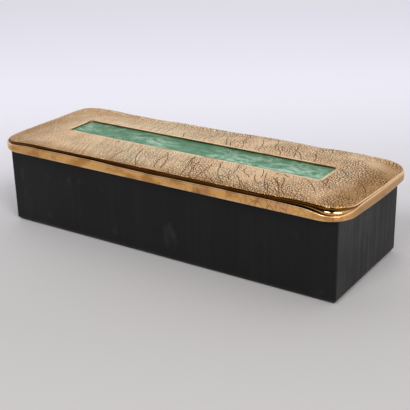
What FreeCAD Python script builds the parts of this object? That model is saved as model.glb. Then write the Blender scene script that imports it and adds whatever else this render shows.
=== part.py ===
"""Long ink box: a black wooden box with a heavy lift-off gilt lid, and the writing set inside.

Frame: origin at the middle of the underside, +X along the length, -Y to the front, +Z up, millimetres.
Every sub-part is an object of one document, tied to the cells of the sheet "Sizes".
"""
import FreeCAD, Part
import math
import os
import re
import Sketcher

SIZES = [
    # the box
    ("box_length", 300, "outside length of the wooden box"),
    ("box_width", 103.6, "outside width of the wooden box"),
    ("wall_height", 64, "height of the four walls"),
    ("wall_thick", 8, "thickness of the four walls"),
    ("arris_radius", 1, "rounding of the upright outer edges"),
    ("foot_radius", 4.3, "rounding of the walls' lower outer edge"),
    ("rim_chamfer", 0.6, "broken inner edge at the top of the walls"),
    ("base_thick", 6, "thickness of the base board"),
    ("base_rebate", 3, "how far the base board is let into the walls"),
    ("lining_thick", 1, "thickness of the cloth on the floor"),
    ("cutter_margin", 1, "how far a cutting outline passes the piece"),
    ("lining_gap", 0.2, "gap between a lining and what frames it"),
    # the lid casting
    ("lip_overhang", 6.4, "how far the lid stands out past the front and back walls"),
    ("end_overhang", 7.4, "how far the lid stands out past the end walls"),
    ("lid_corner", 20, "corner rounding of the lid in plan"),
    ("lip_height", 7.2, "height of the lip"),
    ("lip_roll", 0.8, "rounding of the lip's upper edge"),
    ("lip_foot", 0.8, "rounding of the lip's lower edge"),
    ("cove_radius", 1.9, "radius of the hollow moulding above the lip"),
    ("cove_inset", 2.5, "centre line of the hollow moulding, in from the lip"),
    ("cove_rise", 8.4, "centre line of the hollow moulding, above the lid's underside"),
    ("crown_inset", 3.9, "foot of the crown before the moulding is cut, in from the lip"),
    ("crown_foot", 8.6, "height of the foot of the crown"),
    ("crown_mid", 10.4, "height of the crown half way in"),
    ("crown_top", 11.1, "height of the border round the panel"),
    ("crown_corner", 4, "corner rounding of the border round the panel"),
    ("border_width", 2.5, "plain border round the panel"),
    ("border_chamfer", 0.6, "bevel of the border's inner edge"),
    # the green panel
    ("panel_length", 233.8, "length of the panel's bed"),
    ("panel_width", 28.7, "width of the panel's bed"),
    ("panel_corner", 1.5, "corner rounding of the panel"),
    ("panel_sink", 1.4, "how far the enamel lies below the border"),
    ("panel_gap", 0.15, "gap all round the panel"),
    ("enamel_thick", 1, "thickness of the enamel"),
    ("plate_thick", 0.8, "thickness of the copper plate under the enamel"),
    # the liner under the lid
    ("liner_thick", 12, "thickness of the liner board"),
    ("liner_pocket", 5, "depth of the pocket in the casting for the liner board"),
    ("liner_gap", 0.5, "gap between the liner board and the walls"),
    ("liner_bed_gap", 0.2, "gap between the liner board and the casting's pocket"),
    ("liner_corner", 2, "corner rounding of the liner board"),
    ("liner_chamfer", 1.2, "lead-in bevel round the liner board's lower edge"),
    ("lid_lining_thick", 0.8, "thickness of the cloth under the liner board"),
    ("lid_lining_inset", 3, "plain edge of the liner board round its cloth"),
    ("screw_radius", 1.5, "radius of a liner screw"),
    ("screw_head_radius", 3, "radius of a liner screw's head"),
    ("screw_head_height", 1.6, "height of a liner screw's cone"),
    ("screw_bite", 3, "how far a liner screw reaches into the casting"),
    ("screw_gap", 0.1, "gap round a liner screw"),
    ("screw_pitch", 110, "distance between liner screws along the length"),
    ("screw_row", 56, "distance between the two rows of liner screws"),
    # the ink board
    ("fit_gap", 0.5, "gap between a loose piece and what holds it"),
    ("tray_width", 24, "width of the brush tray"),
    ("board_thick", 9, "thickness of the ink board"),
    ("board_round", 1, "rounding of the ink board's upper edge"),
    ("board_corner", 2, "corner rounding of the ink board"),
    ("notch_radius", 9, "radius of the finger notches"),
    # the inkstone
    ("stone_length", 118, "length of the inkstone"),
    ("stone_width", 54, "width of the inkstone"),
    ("stone_height", 16, "height of the inkstone"),
    ("stone_corner", 4, "corner rounding of the inkstone"),
    ("stone_edge", 1, "rounding of the inkstone's upper edge"),
    ("stone_rim", 5, "width of the inkstone's rim"),
    ("stone_bed", 5, "depth of the bed that the inkstone lies in"),
    ("stone_place", -22, "middle of the inkstone along the box"),
    ("land_depth", 1.8, "depth of the grinding ground below the rim"),
    ("sea_depth", 9, "depth of the ink well below the rim"),
    ("sea_length", 16, "length of the ink well's floor"),
    ("shore_length", 22, "length of the slope between ground and well"),
    ("shore_radius", 40, "hollow of that slope"),
    ("well_corner", 4, "corner rounding inside the rim"),
    # the water dropper
    ("dropper_radius", 20, "radius of the water dropper"),
    ("dropper_height", 15, "height of the water dropper"),
    ("dropper_shoulder", 6, "rounding of the dropper's shoulder"),
    ("dropper_foot", 1, "rounding of the dropper's foot"),
    ("dropper_wall", 1.2, "wall of the dropper"),
    ("dropper_base_thick", 1, "thickness of the dropper's base plate"),
    ("air_hole", 1.2, "radius of the dropper's air hole"),
    ("spout_radius", 2, "outer radius of the dropper's spout"),
    ("spout_bore", 1, "inner radius of the dropper's spout"),
    ("spout_height", 2, "how far the spout stands above the dropper"),
    ("spout_inset", 8, "spout and air hole, each side of the dropper's middle"),
    ("dropper_place", 98, "middle of the water dropper along the box"),
    # the ink stick
    ("stick_length", 56, "length of the ink stick"),
    ("stick_width", 15, "width of the ink stick"),
    ("stick_height", 8, "height of the ink stick"),
    ("stick_edge", 1.5, "rounding of the ink stick's edges"),
    ("stick_bed", 4, "depth of the bed that the ink stick lies in"),
    ("stick_panel", 0.6, "depth of the moulded field on the ink stick"),
    ("stick_frame", 2.5, "width of the moulded frame on the ink stick"),
    ("stick_place", -114, "middle of the ink stick along the box"),
    # the brush tray
    ("tray_height", 14, "height of the brush tray"),
    ("tray_wall", 3, "thickness of the brush tray's sides and ends"),
    ("tray_floor_thick", 3, "thickness of the brush tray's floor"),
    ("tray_round", 1, "rounding of the tray sides' upper edges"),
    ("dip_length", 64, "length of the finger dip in the tray's sides"),
    ("dip_radius", 130, "radius of the finger dip"),
    ("board_gap", 1, "gap between the ink board and the brush tray"),
    ("rest_thick", 6, "thickness of a brush rest along the tray"),
    ("rest_height", 4.6, "height of a brush rest"),
    ("rest_start", 30, "left brush rest, in from the brushes' blunt ends"),
    ("rest_reach", 18, "right brush rest, in from the far end of the large brush's handle"),
    ("brush_gap", 0.3, "gap between a brush and the notch that it lies in"),
    # the two brushes
    ("brush_start", -134, "blunt end of both brushes"),
    ("brush_lie", 5.4, "height of a brush's centre line over the tray's floor"),
    ("large_radius", 4, "radius of the large brush's handle"),
    ("large_length", 160, "length of the large brush's handle"),
    ("large_line", -35.4, "centre line of the large brush across the box"),
    ("ferrule_length", 9, "length of the large brush's horn ferrule"),
    ("ferrule_proud", 0.5, "how far the ferrule stands out past the handle"),
    ("large_tuft", 34, "length of the large brush's tuft"),
    ("small_radius", 3, "radius of the small brush's handle"),
    ("small_length", 156, "length of the small brush's handle"),
    ("small_line", -26.6, "centre line of the small brush across the box"),
    ("small_tuft", 24, "length of the small brush's tuft"),
    ("large_belly", 11, "widest place of the large brush's tuft, from its root"),
    ("small_belly", 8, "widest place of the small brush's tuft, from its root"),
    ("tuft_swell", 0.6, "how far a tuft swells past its root"),
    ("tuft_step", 0.5, "how far a tuft's root lies inside its handle"),
    ("tuft_point", 0.3, "radius of a tuft's blunt tip"),
    ("first_node", 47, "bamboo joint nearer the blunt end, from that end"),
    ("second_node", 110, "bamboo joint nearer the tuft, from the blunt end"),
    ("node_proud", 0.35, "how far a bamboo joint stands out from the handle"),
    ("node_length", 2.4, "length of a bamboo joint's ridge"),
]

# Places that several pieces share, as formulas of the sheet's names.
INSIDE_LENGTH = "(box_length - 2 * wall_thick)"
INSIDE_WIDTH = "(box_width - 2 * wall_thick)"
FLOOR_TOP = "(base_thick + lining_thick)"
BASE_LENGTH = "(box_length - 2 * wall_thick + 2 * base_rebate)"
BASE_WIDTH = "(box_width - 2 * wall_thick + 2 * base_rebate)"
LID_LENGTH = "(box_length + 2 * end_overhang)"
LID_WIDTH = "(box_width + 2 * lip_overhang)"
PANEL_BED = "(crown_top - panel_sink - enamel_thick - plate_thick)"
LINER_LENGTH = f"({INSIDE_LENGTH} - 2 * liner_gap)"
LINER_WIDTH = f"({INSIDE_WIDTH} - 2 * liner_gap)"
LINER_BOTTOM = "(wall_height + liner_pocket - liner_thick)"
BOARD_LENGTH = f"({INSIDE_LENGTH} - 2 * fit_gap)"
BOARD_FRONT = "(wall_thick + fit_gap + tray_width + board_gap - box_width / 2)"
BOARD_BACK = "(box_width / 2 - wall_thick - fit_gap)"
BOARD_LINE = f"(({BOARD_FRONT} + {BOARD_BACK}) / 2)"
BOARD_TOP = f"({FLOOR_TOP} + board_thick)"
TRAY_FRONT = "(wall_thick + fit_gap - box_width / 2)"
TRAY_LINE = f"({TRAY_FRONT} + tray_width / 2)"
TRAY_INSIDE = "(tray_width - 2 * tray_wall)"
BRUSH_HEIGHT = f"({FLOOR_TOP} + tray_floor_thick + brush_lie)"

# The liner screws' places in steps of their pitch, and the largest error of a computed place in millimetres.
SCREW_COLUMNS = (-1, 0, 1)
SCREW_ROWS = (-1, 1)
NEAR = 1e-4

doc = FreeCAD.newDocument("InkBox")
sheet = doc.addObject("Spreadsheet::Sheet", "Sizes")
for row, (alias, number, meaning) in enumerate(SIZES, start=1):
    sheet.set(f"A{row}", meaning)
    sheet.set(f"B{row}", str(number))
    sheet.setAlias(f"B{row}", alias)
doc.recompute()


# ---------------------------------------------------------------- helpers

def tied(formula):
    """The formula with each of the sheet's names (all have an underscore) written as a reference."""
    return re.sub(r"\b([a-z]+(?:_[a-z]+)+)\b", r"Sizes.\1", formula)


def value(formula):
    """The formula's number now."""
    return float(sheet.evalExpression(tied(formula)))


def bind(thing, **formulas):
    """Ties properties of an object to formulas of the sheet; a double underscore stands for a dot."""
    for path, formula in formulas.items():
        thing.setExpression(path.replace("__", "."), tied(formula))


def place(thing, x="0", y="0", z="0", turn=0):
    """Puts a sub-part at a tied place, turned by a fixed angle about +Z."""
    thing.Placement = FreeCAD.Placement(FreeCAD.Vector(), FreeCAD.Rotation(FreeCAD.Vector(0, 0, 1), turn))
    bind(thing, Placement__Base__x=x, Placement__Base__y=y, Placement__Base__z=z)


def new_body(label):
    body = doc.addObject("PartDesign::Body", label)
    body.Label = label
    return body


def origin_item(body, role):
    return next(item for item in body.Origin.OriginFeatures if item.Role == role)


def new_sketch(body, name, plane, lift="0"):
    """A sketch on one of the body's own origin planes, lifted along its normal."""
    sketch = body.newObject("Sketcher::SketchObject", f"{body.Label}_{name}")
    sketch.AttachmentSupport = [(origin_item(body, f"{plane}_Plane"), "")]
    sketch.MapMode = "FlatFace"
    bind(sketch, AttachmentOffset__Base__z=lift)
    return sketch


def fix_point(sketch, name, edge, end, x, y):
    """Ties one end of an edge to a place measured from the sketch's origin."""
    for kind, formula in (("DistanceX", x), ("DistanceY", y)):
        constraint = Sketcher.Constraint(kind, -1, 1, edge, end, value(formula))
        number = sketch.addConstraint(constraint)
        sketch.renameConstraint(number, f"{name}_{kind[-1].lower()}")
        sketch.setExpression(f"Constraints.{name}_{kind[-1].lower()}", tied(formula))


def fix_radius(sketch, name, edge, radius):
    number = sketch.addConstraint(Sketcher.Constraint("Radius", edge, value(radius)))
    sketch.renameConstraint(number, name)
    sketch.setExpression(f"Constraints.{name}", tied(radius))


def arc_between(start, end, radius, left):
    """The short arc of a radius from start to end, turning left (or right)."""
    half = (end - start) * 0.5
    reach = math.sqrt(max(radius * radius - half.Length ** 2, 0.0))
    side = FreeCAD.Vector(-half.y, half.x, 0).normalize() * reach
    centre = start + half + (side if left else -side)
    first, last = (start, end) if left else (end, start)
    angles = [math.atan2(point.y - centre.y, point.x - centre.x) for point in (first, last)]
    circle = Part.Circle(centre, FreeCAD.Vector(0, 0, 1), radius)
    return Part.ArcOfCircle(circle, angles[0], angles[1])


def draw(body, name, plane, corners, lift="0"):
    """A closed outline. A corner is (x, y), or (x, y, radius, "left" or "right") at the end of an arc."""
    sketch = new_sketch(body, name, plane, lift)
    points = [FreeCAD.Vector(value(corner[0]), value(corner[1]), 0) for corner in corners]
    ends = []
    for number, corner in enumerate(corners):
        start, end = points[number - 1], points[number]
        if len(corner) == 2:
            sketch.addGeometry(Part.LineSegment(start, end), False)
            ends.append((1, 2))
        else:
            left = corner[3] == "left"
            sketch.addGeometry(arc_between(start, end, value(corner[2]), left), False)
            ends.append((1, 2) if left else (2, 1))
    for number, corner in enumerate(corners):
        after = (number + 1) % len(corners)
        joint = Sketcher.Constraint("Coincident", number, ends[number][1], after, ends[after][0])
        sketch.addConstraint(joint)
        fix_point(sketch, f"corner_{number}", number, ends[number][1], corner[0], corner[1])
        if len(corner) > 2:
            fix_radius(sketch, f"radius_{number}", number, corner[2])
    return sketch


def circle(body, name, plane, x, y, radius, lift="0"):
    sketch = new_sketch(body, name, plane, lift)
    middle = FreeCAD.Vector(value(x), value(y), 0)
    sketch.addGeometry(Part.Circle(middle, FreeCAD.Vector(0, 0, 1), value(radius)), False)
    fix_point(sketch, "middle", 0, 3, x, y)
    fix_radius(sketch, "radius", 0, radius)
    return sketch


def rounded(length, width, radius, x="0", y="0"):
    """Corners for draw(): a rectangle with round corners, which starts in the middle of its front side."""
    east, west = f"{x} + {length} / 2", f"{x} - {length} / 2"
    north, south = f"{y} + {width} / 2", f"{y} - {width} / 2"
    return [
        (f"{east} - {radius}", south),
        (east, f"{south} + {radius}", radius, "left"),
        (east, f"{north} - {radius}"),
        (f"{east} - {radius}", north, radius, "left"),
        (f"{west} + {radius}", north),
        (west, f"{north} - {radius}", radius, "left"),
        (west, f"{south} + {radius}"),
        (f"{west} + {radius}", south, radius, "left"),
        (x, south),
    ]


def rectangle(west, east, south, north):
    return [(east, south), (east, north), (west, north), (west, south)]


def pad(body, sketch, length, both=False, reverse=False):
    feature = body.newObject("PartDesign::Pad", f"{sketch.Name}_pad")
    feature.Profile = sketch
    feature.Midplane = both
    feature.Reversed = reverse
    bind(feature, Length=length)
    return settle(body, feature, +1)


def pocket(body, sketch, depth, both=False, reverse=False):
    feature = body.newObject("PartDesign::Pocket", f"{sketch.Name}_pocket")
    feature.Profile = sketch
    feature.Midplane = both
    feature.Reversed = reverse
    bind(feature, Length=depth)
    return settle(body, feature, -1)


def turn(body, kind, sketch, axis, sign):
    """A Revolution or a Groove about one of the body's origin axes."""
    feature = body.newObject(f"PartDesign::{kind}", f"{sketch.Name}_turned")
    feature.Profile = sketch
    feature.ReferenceAxis = (origin_item(body, f"{axis}_Axis"), [""])
    feature.Angle = 360
    return settle(body, feature, sign)


def settle(body, feature, sign):
    """Recomputes the body and makes sure that the feature added (+1) or removed (-1) material."""
    before = body.Shape.Volume if body.Shape.Solids else 0
    body.Tip = feature
    doc.recompute()
    if feature.Shape.isNull() or sign * (feature.Shape.Volume - before) <= 0:
        raise RuntimeError(f"{feature.Name} did not change its body as it should")
    return feature


def edges_where(feature, test):
    """Names of the feature's edges that pass the test."""
    return [f"Edge{number}" for number, edge in enumerate(feature.Shape.Edges, start=1) if test(edge)]


def level(edge, height):
    """Whether an edge lies wholly at a height."""
    box = edge.BoundBox
    return abs(box.ZMin - height) < NEAR and abs(box.ZMax - height) < NEAR


def upright(edge):
    box = edge.BoundBox
    return box.ZLength > NEAR and box.XLength < NEAR and box.YLength < NEAR


def soften(body, kind, feature, names, **formulas):
    """A Fillet or a Chamfer on named edges of the last feature."""
    edge = body.newObject(f"PartDesign::{kind}", f"{feature.Name}_{kind.lower()}")
    edge.Base = (feature, names)
    bind(edge, **formulas)
    return settle_any(body, edge)


def settle_any(body, feature):
    body.Tip = feature
    doc.recompute()
    if feature.Shape.isNull():
        raise RuntimeError(f"{feature.Name} has no shape")
    return feature


def slab(label, length, width, height, x="0", y="0", z="0"):
    """A plain board, given by its middle in plan and its underside."""
    board = doc.addObject("Part::Box", label)
    board.Label = label
    bind(board, Length=length, Width=width, Height=height)
    place(board, f"{x} - {length} / 2", f"{y} - {width} / 2", z)
    return board


# ---------------------------------------------------------------- the box

def box_wall(label, length, width, turned):
    """One mitred wall: its section run out to full length, then both ends cut, drawn as the front wall."""
    body = new_body(label)
    half, front = f"{length} / 2", f"-{width} / 2"
    inner = f"({front} + wall_thick)"
    section = [
        (f"{inner} - base_rebate", "0"),
        (f"{inner} - base_rebate", "base_thick"),
        (inner, "base_thick"),
        (inner, "wall_height - rim_chamfer"),
        (f"{inner} - rim_chamfer", "wall_height"),
        (front, "wall_height"),
        (front, "foot_radius"),
        (f"{front} + foot_radius", "0", "foot_radius", "left"),
    ]
    pad(body, draw(body, "section", "YZ", section), length, both=True)
    cut = "(arris_radius * (1 - sqrt(0.5)))"
    beyond = "(wall_thick + cutter_margin)"
    waste = [
        (f"{half} - arris_radius", front),
        (f"{half} - {cut}", f"{front} + {cut}", "arris_radius", "left"),
        (f"{half} - {beyond}", f"{front} + {beyond}"),
        (f"{half} + cutter_margin", f"{front} + {beyond}"),
        (f"{half} + cutter_margin", f"{front} - cutter_margin"),
        (f"{half} - arris_radius", f"{front} - cutter_margin"),
    ]
    mitre = pocket(body, draw(body, "mitre", "XY", waste), "wall_height", reverse=True)
    both = body.newObject("PartDesign::Mirrored", f"{label}_both_mitres")
    both.Originals = [mitre]
    both.MirrorPlane = (origin_item(body, "YZ_Plane"), [""])
    settle(body, both, -1)
    place(body, turn=turned)
    return body


def make_box():
    walls = [
        box_wall("front_wall", "box_length", "box_width", 0),
        box_wall("right_wall", "box_width", "box_length", 90),
        box_wall("back_wall", "box_length", "box_width", 180),
        box_wall("left_wall", "box_width", "box_length", 270),
    ]
    base = slab("base_board", BASE_LENGTH, BASE_WIDTH, "base_thick")
    lining = slab("floor_lining", f"({INSIDE_LENGTH} - 2 * lining_gap)", f"({INSIDE_WIDTH} - 2 * lining_gap)",
                  "lining_thick", z="base_thick")
    return walls + [base, lining]


# ---------------------------------------------------------------- the lid

def lid_outline(inset):
    """The lid's plan, drawn in by an inset."""
    return rounded(f"({LID_LENGTH} - 2 * {inset})", f"({LID_WIDTH} - 2 * {inset})", f"(lid_corner - {inset})")


def lid_shell():
    """The casting: lip, swept hollow moulding, lofted crown, panel bed and pocket for the liner board."""
    body = new_body("lid_shell")
    lip = pad(body, draw(body, "lip", "XY", lid_outline("0")), "lip_height")
    lip = soften(body, "Fillet", lip, edges_where(lip, lambda edge: level(edge, 0)), Radius="lip_foot")
    top = value("lip_height")
    rolled = edges_where(lip, lambda edge: level(edge, top))
    soften(body, "Fillet", lip, rolled, Radius="lip_roll")
    pad(body, draw(body, "step", "XY", lid_outline("crown_inset")), "crown_foot")
    border_length = "(panel_length + 2 * border_width)"
    border_width = "(panel_width + 2 * border_width)"
    mid_length = f"(({LID_LENGTH} - 2 * crown_inset + {border_length}) / 2)"
    mid_width = f"(({LID_WIDTH} - 2 * crown_inset + {border_width}) / 2)"
    mid_corner = "((lid_corner - crown_inset + crown_corner) / 2)"
    sections = [
        draw(body, "crown_foot", "XY", lid_outline("crown_inset"), "crown_foot"),
        draw(body, "crown_mid", "XY", rounded(mid_length, mid_width, mid_corner), "crown_mid"),
        draw(body, "crown_top", "XY", rounded(border_length, border_width, "crown_corner"), "crown_top"),
    ]
    crown = body.newObject("PartDesign::AdditiveLoft", "lid_shell_crown")
    crown.Profile = sections[0]
    crown.Sections = sections[1:]
    settle(body, crown, +1)
    path = draw(body, "cove_path", "XY", lid_outline("cove_inset"), "cove_rise")
    ring = circle(body, "cove_ring", "YZ", f"cove_inset - {LID_WIDTH} / 2", "cove_rise", "cove_radius")
    cove = body.newObject("PartDesign::SubtractivePipe", "lid_shell_cove")
    cove.Profile = ring
    cove.Spine = (path, [f"Edge{number}" for number in range(1, 10)])
    settle(body, cove, -1)
    bed = draw(body, "panel_bed", "XY", rounded("panel_length", "panel_width", "panel_corner"), PANEL_BED)
    bed = pocket(body, bed, f"crown_top - {PANEL_BED}", reverse=True)
    rim = value("crown_top")
    half_length, half_width = value("panel_length / 2 + panel_gap"), value("panel_width / 2 + panel_gap")
    bevel = edges_where(bed, lambda edge: level(edge, rim) and within(edge, half_length, half_width))
    soften(body, "Chamfer", bed, bevel, Size="border_chamfer")
    seat = rounded(f"({LINER_LENGTH} + 2 * liner_bed_gap)", f"({LINER_WIDTH} + 2 * liner_bed_gap)",
                   "(liner_corner + liner_bed_gap)")
    pocket(body, draw(body, "liner_seat", "XY", seat), "liner_pocket", reverse=True)
    for number, (x, y) in enumerate(screw_places()):
        hole = circle(body, f"screw_{number}", "XY", x, y, "(screw_radius + screw_gap)")
        pocket(body, hole, "liner_pocket + screw_bite + screw_gap", reverse=True)
    place(body, z="wall_height")
    return body


def within(edge, half_length, half_width):
    box = edge.BoundBox
    return max(abs(box.XMin), abs(box.XMax)) < half_length and max(abs(box.YMin), abs(box.YMax)) < half_width


def screw_places():
    """The six liner screws, three along each side."""
    return [(f"{column} * screw_pitch", f"{row} * screw_row / 2")
            for column in SCREW_COLUMNS for row in SCREW_ROWS]


def panel_piece(label, thick, z):
    body = new_body(label)
    plan = rounded("(panel_length - 2 * panel_gap)", "(panel_width - 2 * panel_gap)",
                   "(panel_corner - panel_gap)")
    pad(body, draw(body, "plan", "XY", plan), thick)
    place(body, z=z)
    return body


def liner_board():
    """The board that drops inside the walls and locates the lid."""
    body = new_body("lid_liner_board")
    plan = draw(body, "plan", "XY", rounded(LINER_LENGTH, LINER_WIDTH, "liner_corner"))
    board = pad(body, plan, "liner_thick")
    lower = edges_where(board, lambda edge: level(edge, 0))
    soften(body, "Chamfer", board, lower, Size="liner_chamfer")
    for number, (x, y) in enumerate(screw_places()):
        hole = circle(body, f"screw_{number}", "XY", x, y, "(screw_radius + screw_gap)")
        drilled = pocket(body, hole, "liner_thick", reverse=True)
    mouths = edges_where(drilled, lambda edge: level(edge, 0) and is_hole(edge))
    soften(body, "Chamfer", drilled, mouths, Size="screw_head_radius - screw_radius")
    place(body, z=LINER_BOTTOM)
    return body


def is_hole(edge):
    return edge.isClosed() and isinstance(edge.Curve, Part.Circle)


def liner_screws():
    """Six countersunk screws, heads down, drawn once and repeated in both directions."""
    body = new_body("liner_screws")
    shank = [
        ("0", "0"),
        ("screw_head_radius", "0"),
        ("screw_radius", "screw_head_height"),
        ("screw_radius", "liner_thick + screw_bite"),
        ("0", "liner_thick + screw_bite"),
    ]
    screw = turn(body, "Revolution", draw(body, "shank", "XZ", shank), "Z", +1)
    rows = body.newObject("PartDesign::LinearPattern", "liner_screws_rows")
    rows.Originals = [screw]
    rows.Direction = (origin_item(body, "X_Axis"), [""])
    rows.Occurrences = len(SCREW_COLUMNS)
    rows.Direction2 = (origin_item(body, "Y_Axis"), [""])
    rows.Occurrences2 = len(SCREW_ROWS)
    bind(rows, Length="2 * screw_pitch", Length2="screw_row")
    settle(body, rows, +1)
    west, south = screw_places()[0]
    place(body, west, south, LINER_BOTTOM)
    return body


def make_lid():
    lining_length = f"({LINER_LENGTH} - 2 * lid_lining_inset)"
    lining_width = f"({LINER_WIDTH} - 2 * lid_lining_inset)"
    return [
        lid_shell(),
        panel_piece("panel_plate", "plate_thick", f"wall_height + {PANEL_BED}"),
        panel_piece("panel_enamel", "enamel_thick", f"wall_height + {PANEL_BED} + plate_thick"),
        liner_board(),
        liner_screws(),
        slab("lid_lining", lining_length, lining_width, "lid_lining_thick",
             z=f"{LINER_BOTTOM} - lid_lining_thick"),
    ]


# ---------------------------------------------------------------- the ink board and what lies in it

def ink_board():
    """The board along the back, with beds for the inkstone, the dropper and the ink stick."""
    body = new_body("ink_board")
    width = f"({BOARD_BACK} - {BOARD_FRONT})"
    board = pad(body, draw(body, "plan", "XY", rounded(BOARD_LENGTH, width, "board_corner")), "board_thick")
    top = value("board_thick")
    rim = edges_where(board, lambda edge: level(edge, top))
    soften(body, "Fillet", board, rim, Radius="board_round")
    beds = [
        ("stone", rounded("(stone_length + 2 * fit_gap)", "(stone_width + 2 * fit_gap)",
                          "(stone_corner + fit_gap)", x="stone_place"), "stone_bed"),
        ("stick", rounded("(stick_width + 2 * fit_gap)", "(stick_length + 2 * fit_gap)",
                          "(stick_edge + fit_gap)", x="stick_place"), "stick_bed"),
    ]
    for name, outline, depth in beds:
        bed = draw(body, f"{name}_bed", "XY", outline, f"board_thick - {depth}")
        pocket(body, bed, depth, reverse=True)
    bed = circle(body, "dropper_bed", "XY", "dropper_place", "0", "(dropper_radius + fit_gap)",
                 "board_thick - stone_bed")
    pocket(body, bed, "stone_bed", reverse=True)
    for name, x in (("left", f"-{BOARD_LENGTH} / 2"), ("right", f"{BOARD_LENGTH} / 2")):
        notch = circle(body, f"{name}_notch", "XY", x, "0", "notch_radius")
        pocket(body, notch, "board_thick", reverse=True)
    finger = circle(body, "stone_notch", "XY", "stone_place + stone_length / 2", "0", "notch_radius",
                    "board_thick - stone_bed")
    pocket(body, finger, "stone_bed", reverse=True)
    place(body, y=BOARD_LINE, z=FLOOR_TOP)
    return body


def inkstone():
    """A block with a rim, a nearly flat grinding ground and a slope down into the ink well."""
    body = new_body("inkstone")
    block = pad(body, draw(body, "plan", "XY", rounded("stone_length", "stone_width", "stone_corner")),
                "stone_height")
    top = value("stone_height")
    soften(body, "Fillet", block, edges_where(block, lambda edge: level(edge, top)), Radius="stone_edge")
    near, far = "(stone_rim - stone_length / 2)", "(stone_length / 2 - stone_rim)"
    ground, bottom = "(stone_height - land_depth)", "(stone_height - sea_depth)"
    hollow = [
        (near, ground),
        (f"{far} - sea_length - shore_length", ground),
        (f"{far} - sea_length", bottom, "shore_radius", "right"),
        (far, bottom),
        (far, "stone_height + cutter_margin"),
        (near, "stone_height + cutter_margin"),
    ]
    well = pocket(body, draw(body, "hollow", "XZ", hollow), "stone_width - 2 * stone_rim", both=True)
    side = value("stone_width / 2 - stone_rim")
    end = value("stone_length / 2 - stone_rim")
    corners = edges_where(well, lambda edge: upright(edge) and at_corner(edge, end, side))
    soften(body, "Fillet", well, corners, Radius="well_corner")
    place(body, "stone_place", BOARD_LINE, f"{BOARD_TOP} - stone_bed")
    return body


def at_corner(edge, half_length, half_width):
    middle = edge.BoundBox.Center
    return abs(abs(middle.x) - half_length) < NEAR and abs(abs(middle.y) - half_width) < NEAR


def dropper_shell():
    """The dropper's round upper shell, turned, with an air hole and a hole for the spout."""
    body = new_body("dropper_shell")
    inner = "(dropper_radius - dropper_wall)"
    ceiling = "(dropper_height - dropper_wall)"
    section = [
        (inner, "0"),
        ("dropper_radius - dropper_foot", "0"),
        ("dropper_radius", "dropper_foot", "dropper_foot", "left"),
        ("dropper_radius", "dropper_height - dropper_shoulder"),
        ("dropper_radius - dropper_shoulder", "dropper_height", "dropper_shoulder", "left"),
        ("0", "dropper_height"),
        ("0", ceiling),
        ("dropper_radius - dropper_shoulder", ceiling),
        (inner, "dropper_height - dropper_shoulder", "(dropper_shoulder - dropper_wall)", "right"),
    ]
    turn(body, "Revolution", draw(body, "section", "XZ", section), "Z", +1)
    air = circle(body, "air_hole", "XY", "-spout_inset", "0", "air_hole", "dropper_height")
    pocket(body, air, "2 * dropper_wall")
    seat = circle(body, "spout_hole", "XY", "spout_inset", "0", "spout_radius", "dropper_height")
    pocket(body, seat, "2 * dropper_wall")
    place(body, "dropper_place", BOARD_LINE, f"{BOARD_TOP} - stone_bed")
    return body


def dropper_base():
    body = new_body("dropper_base")
    disc = circle(body, "disc", "XY", "0", "0", "dropper_radius - dropper_wall")
    pad(body, disc, "dropper_base_thick")
    place(body, "dropper_place", BOARD_LINE, f"{BOARD_TOP} - stone_bed")
    return body


def dropper_spout():
    """A short turned tube with a rolled lip, let into the shell."""
    body = new_body("dropper_spout")
    low, high = "(dropper_height - dropper_wall)", "(dropper_height + spout_height)"
    roll = "(spout_radius - spout_bore) / 2"
    section = [
        ("spout_bore", low),
        ("spout_radius", low),
        ("spout_radius", f"{high} - {roll}"),
        (f"spout_radius - {roll}", high, roll, "left"),
        ("spout_bore", high),
    ]
    turn(body, "Revolution", draw(body, "section", "XZ", section), "Z", +1)
    place(body, "dropper_place + spout_inset", BOARD_LINE, f"{BOARD_TOP} - stone_bed")
    return body


def ink_stick():
    """A moulded stick with round edges and a plain sunk field on top."""
    body = new_body("ink_stick")
    stick = pad(body, draw(body, "plan", "XY", rounded("stick_width", "stick_length", "stick_edge")),
                "stick_height")
    top = value("stick_height")
    soften(body, "Fillet", stick, edges_where(stick, lambda edge: level(edge, top)), Radius="stick_edge / 2")
    field = rounded("(stick_width - 2 * stick_frame)", "(stick_length - 2 * stick_frame)", "stick_edge")
    field = draw(body, "field", "XY", field, "stick_height - stick_panel")
    pocket(body, field, "stick_panel", reverse=True)
    place(body, "stick_place", BOARD_LINE, f"{BOARD_TOP} - stick_bed")
    return body


def make_ink_set():
    return [ink_board(), inkstone(), dropper_shell(), dropper_base(), dropper_spout(), ink_stick()]


# ---------------------------------------------------------------- the brush tray and the brushes

def tray_side(label, line):
    """A long side of the tray, dipped in the middle for the fingers."""
    body = new_body(label)
    half = f"{BOARD_LENGTH} / 2"
    profile = [
        (half, "0"),
        (half, "tray_height"),
        ("dip_length / 2", "tray_height"),
        ("-dip_length / 2", "tray_height", "dip_radius", "right"),
        (f"-{half}", "tray_height"),
        (f"-{half}", "0"),
    ]
    side = pad(body, draw(body, "profile", "XZ", profile), "tray_wall", both=True)
    flat = value("tray_height")
    top = edges_where(side, lambda edge: level(edge, flat) and edge.BoundBox.XLength > 1)
    soften(body, "Fillet", side, top, Radius="tray_round")
    place(body, y=line, z=FLOOR_TOP)
    return body


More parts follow.
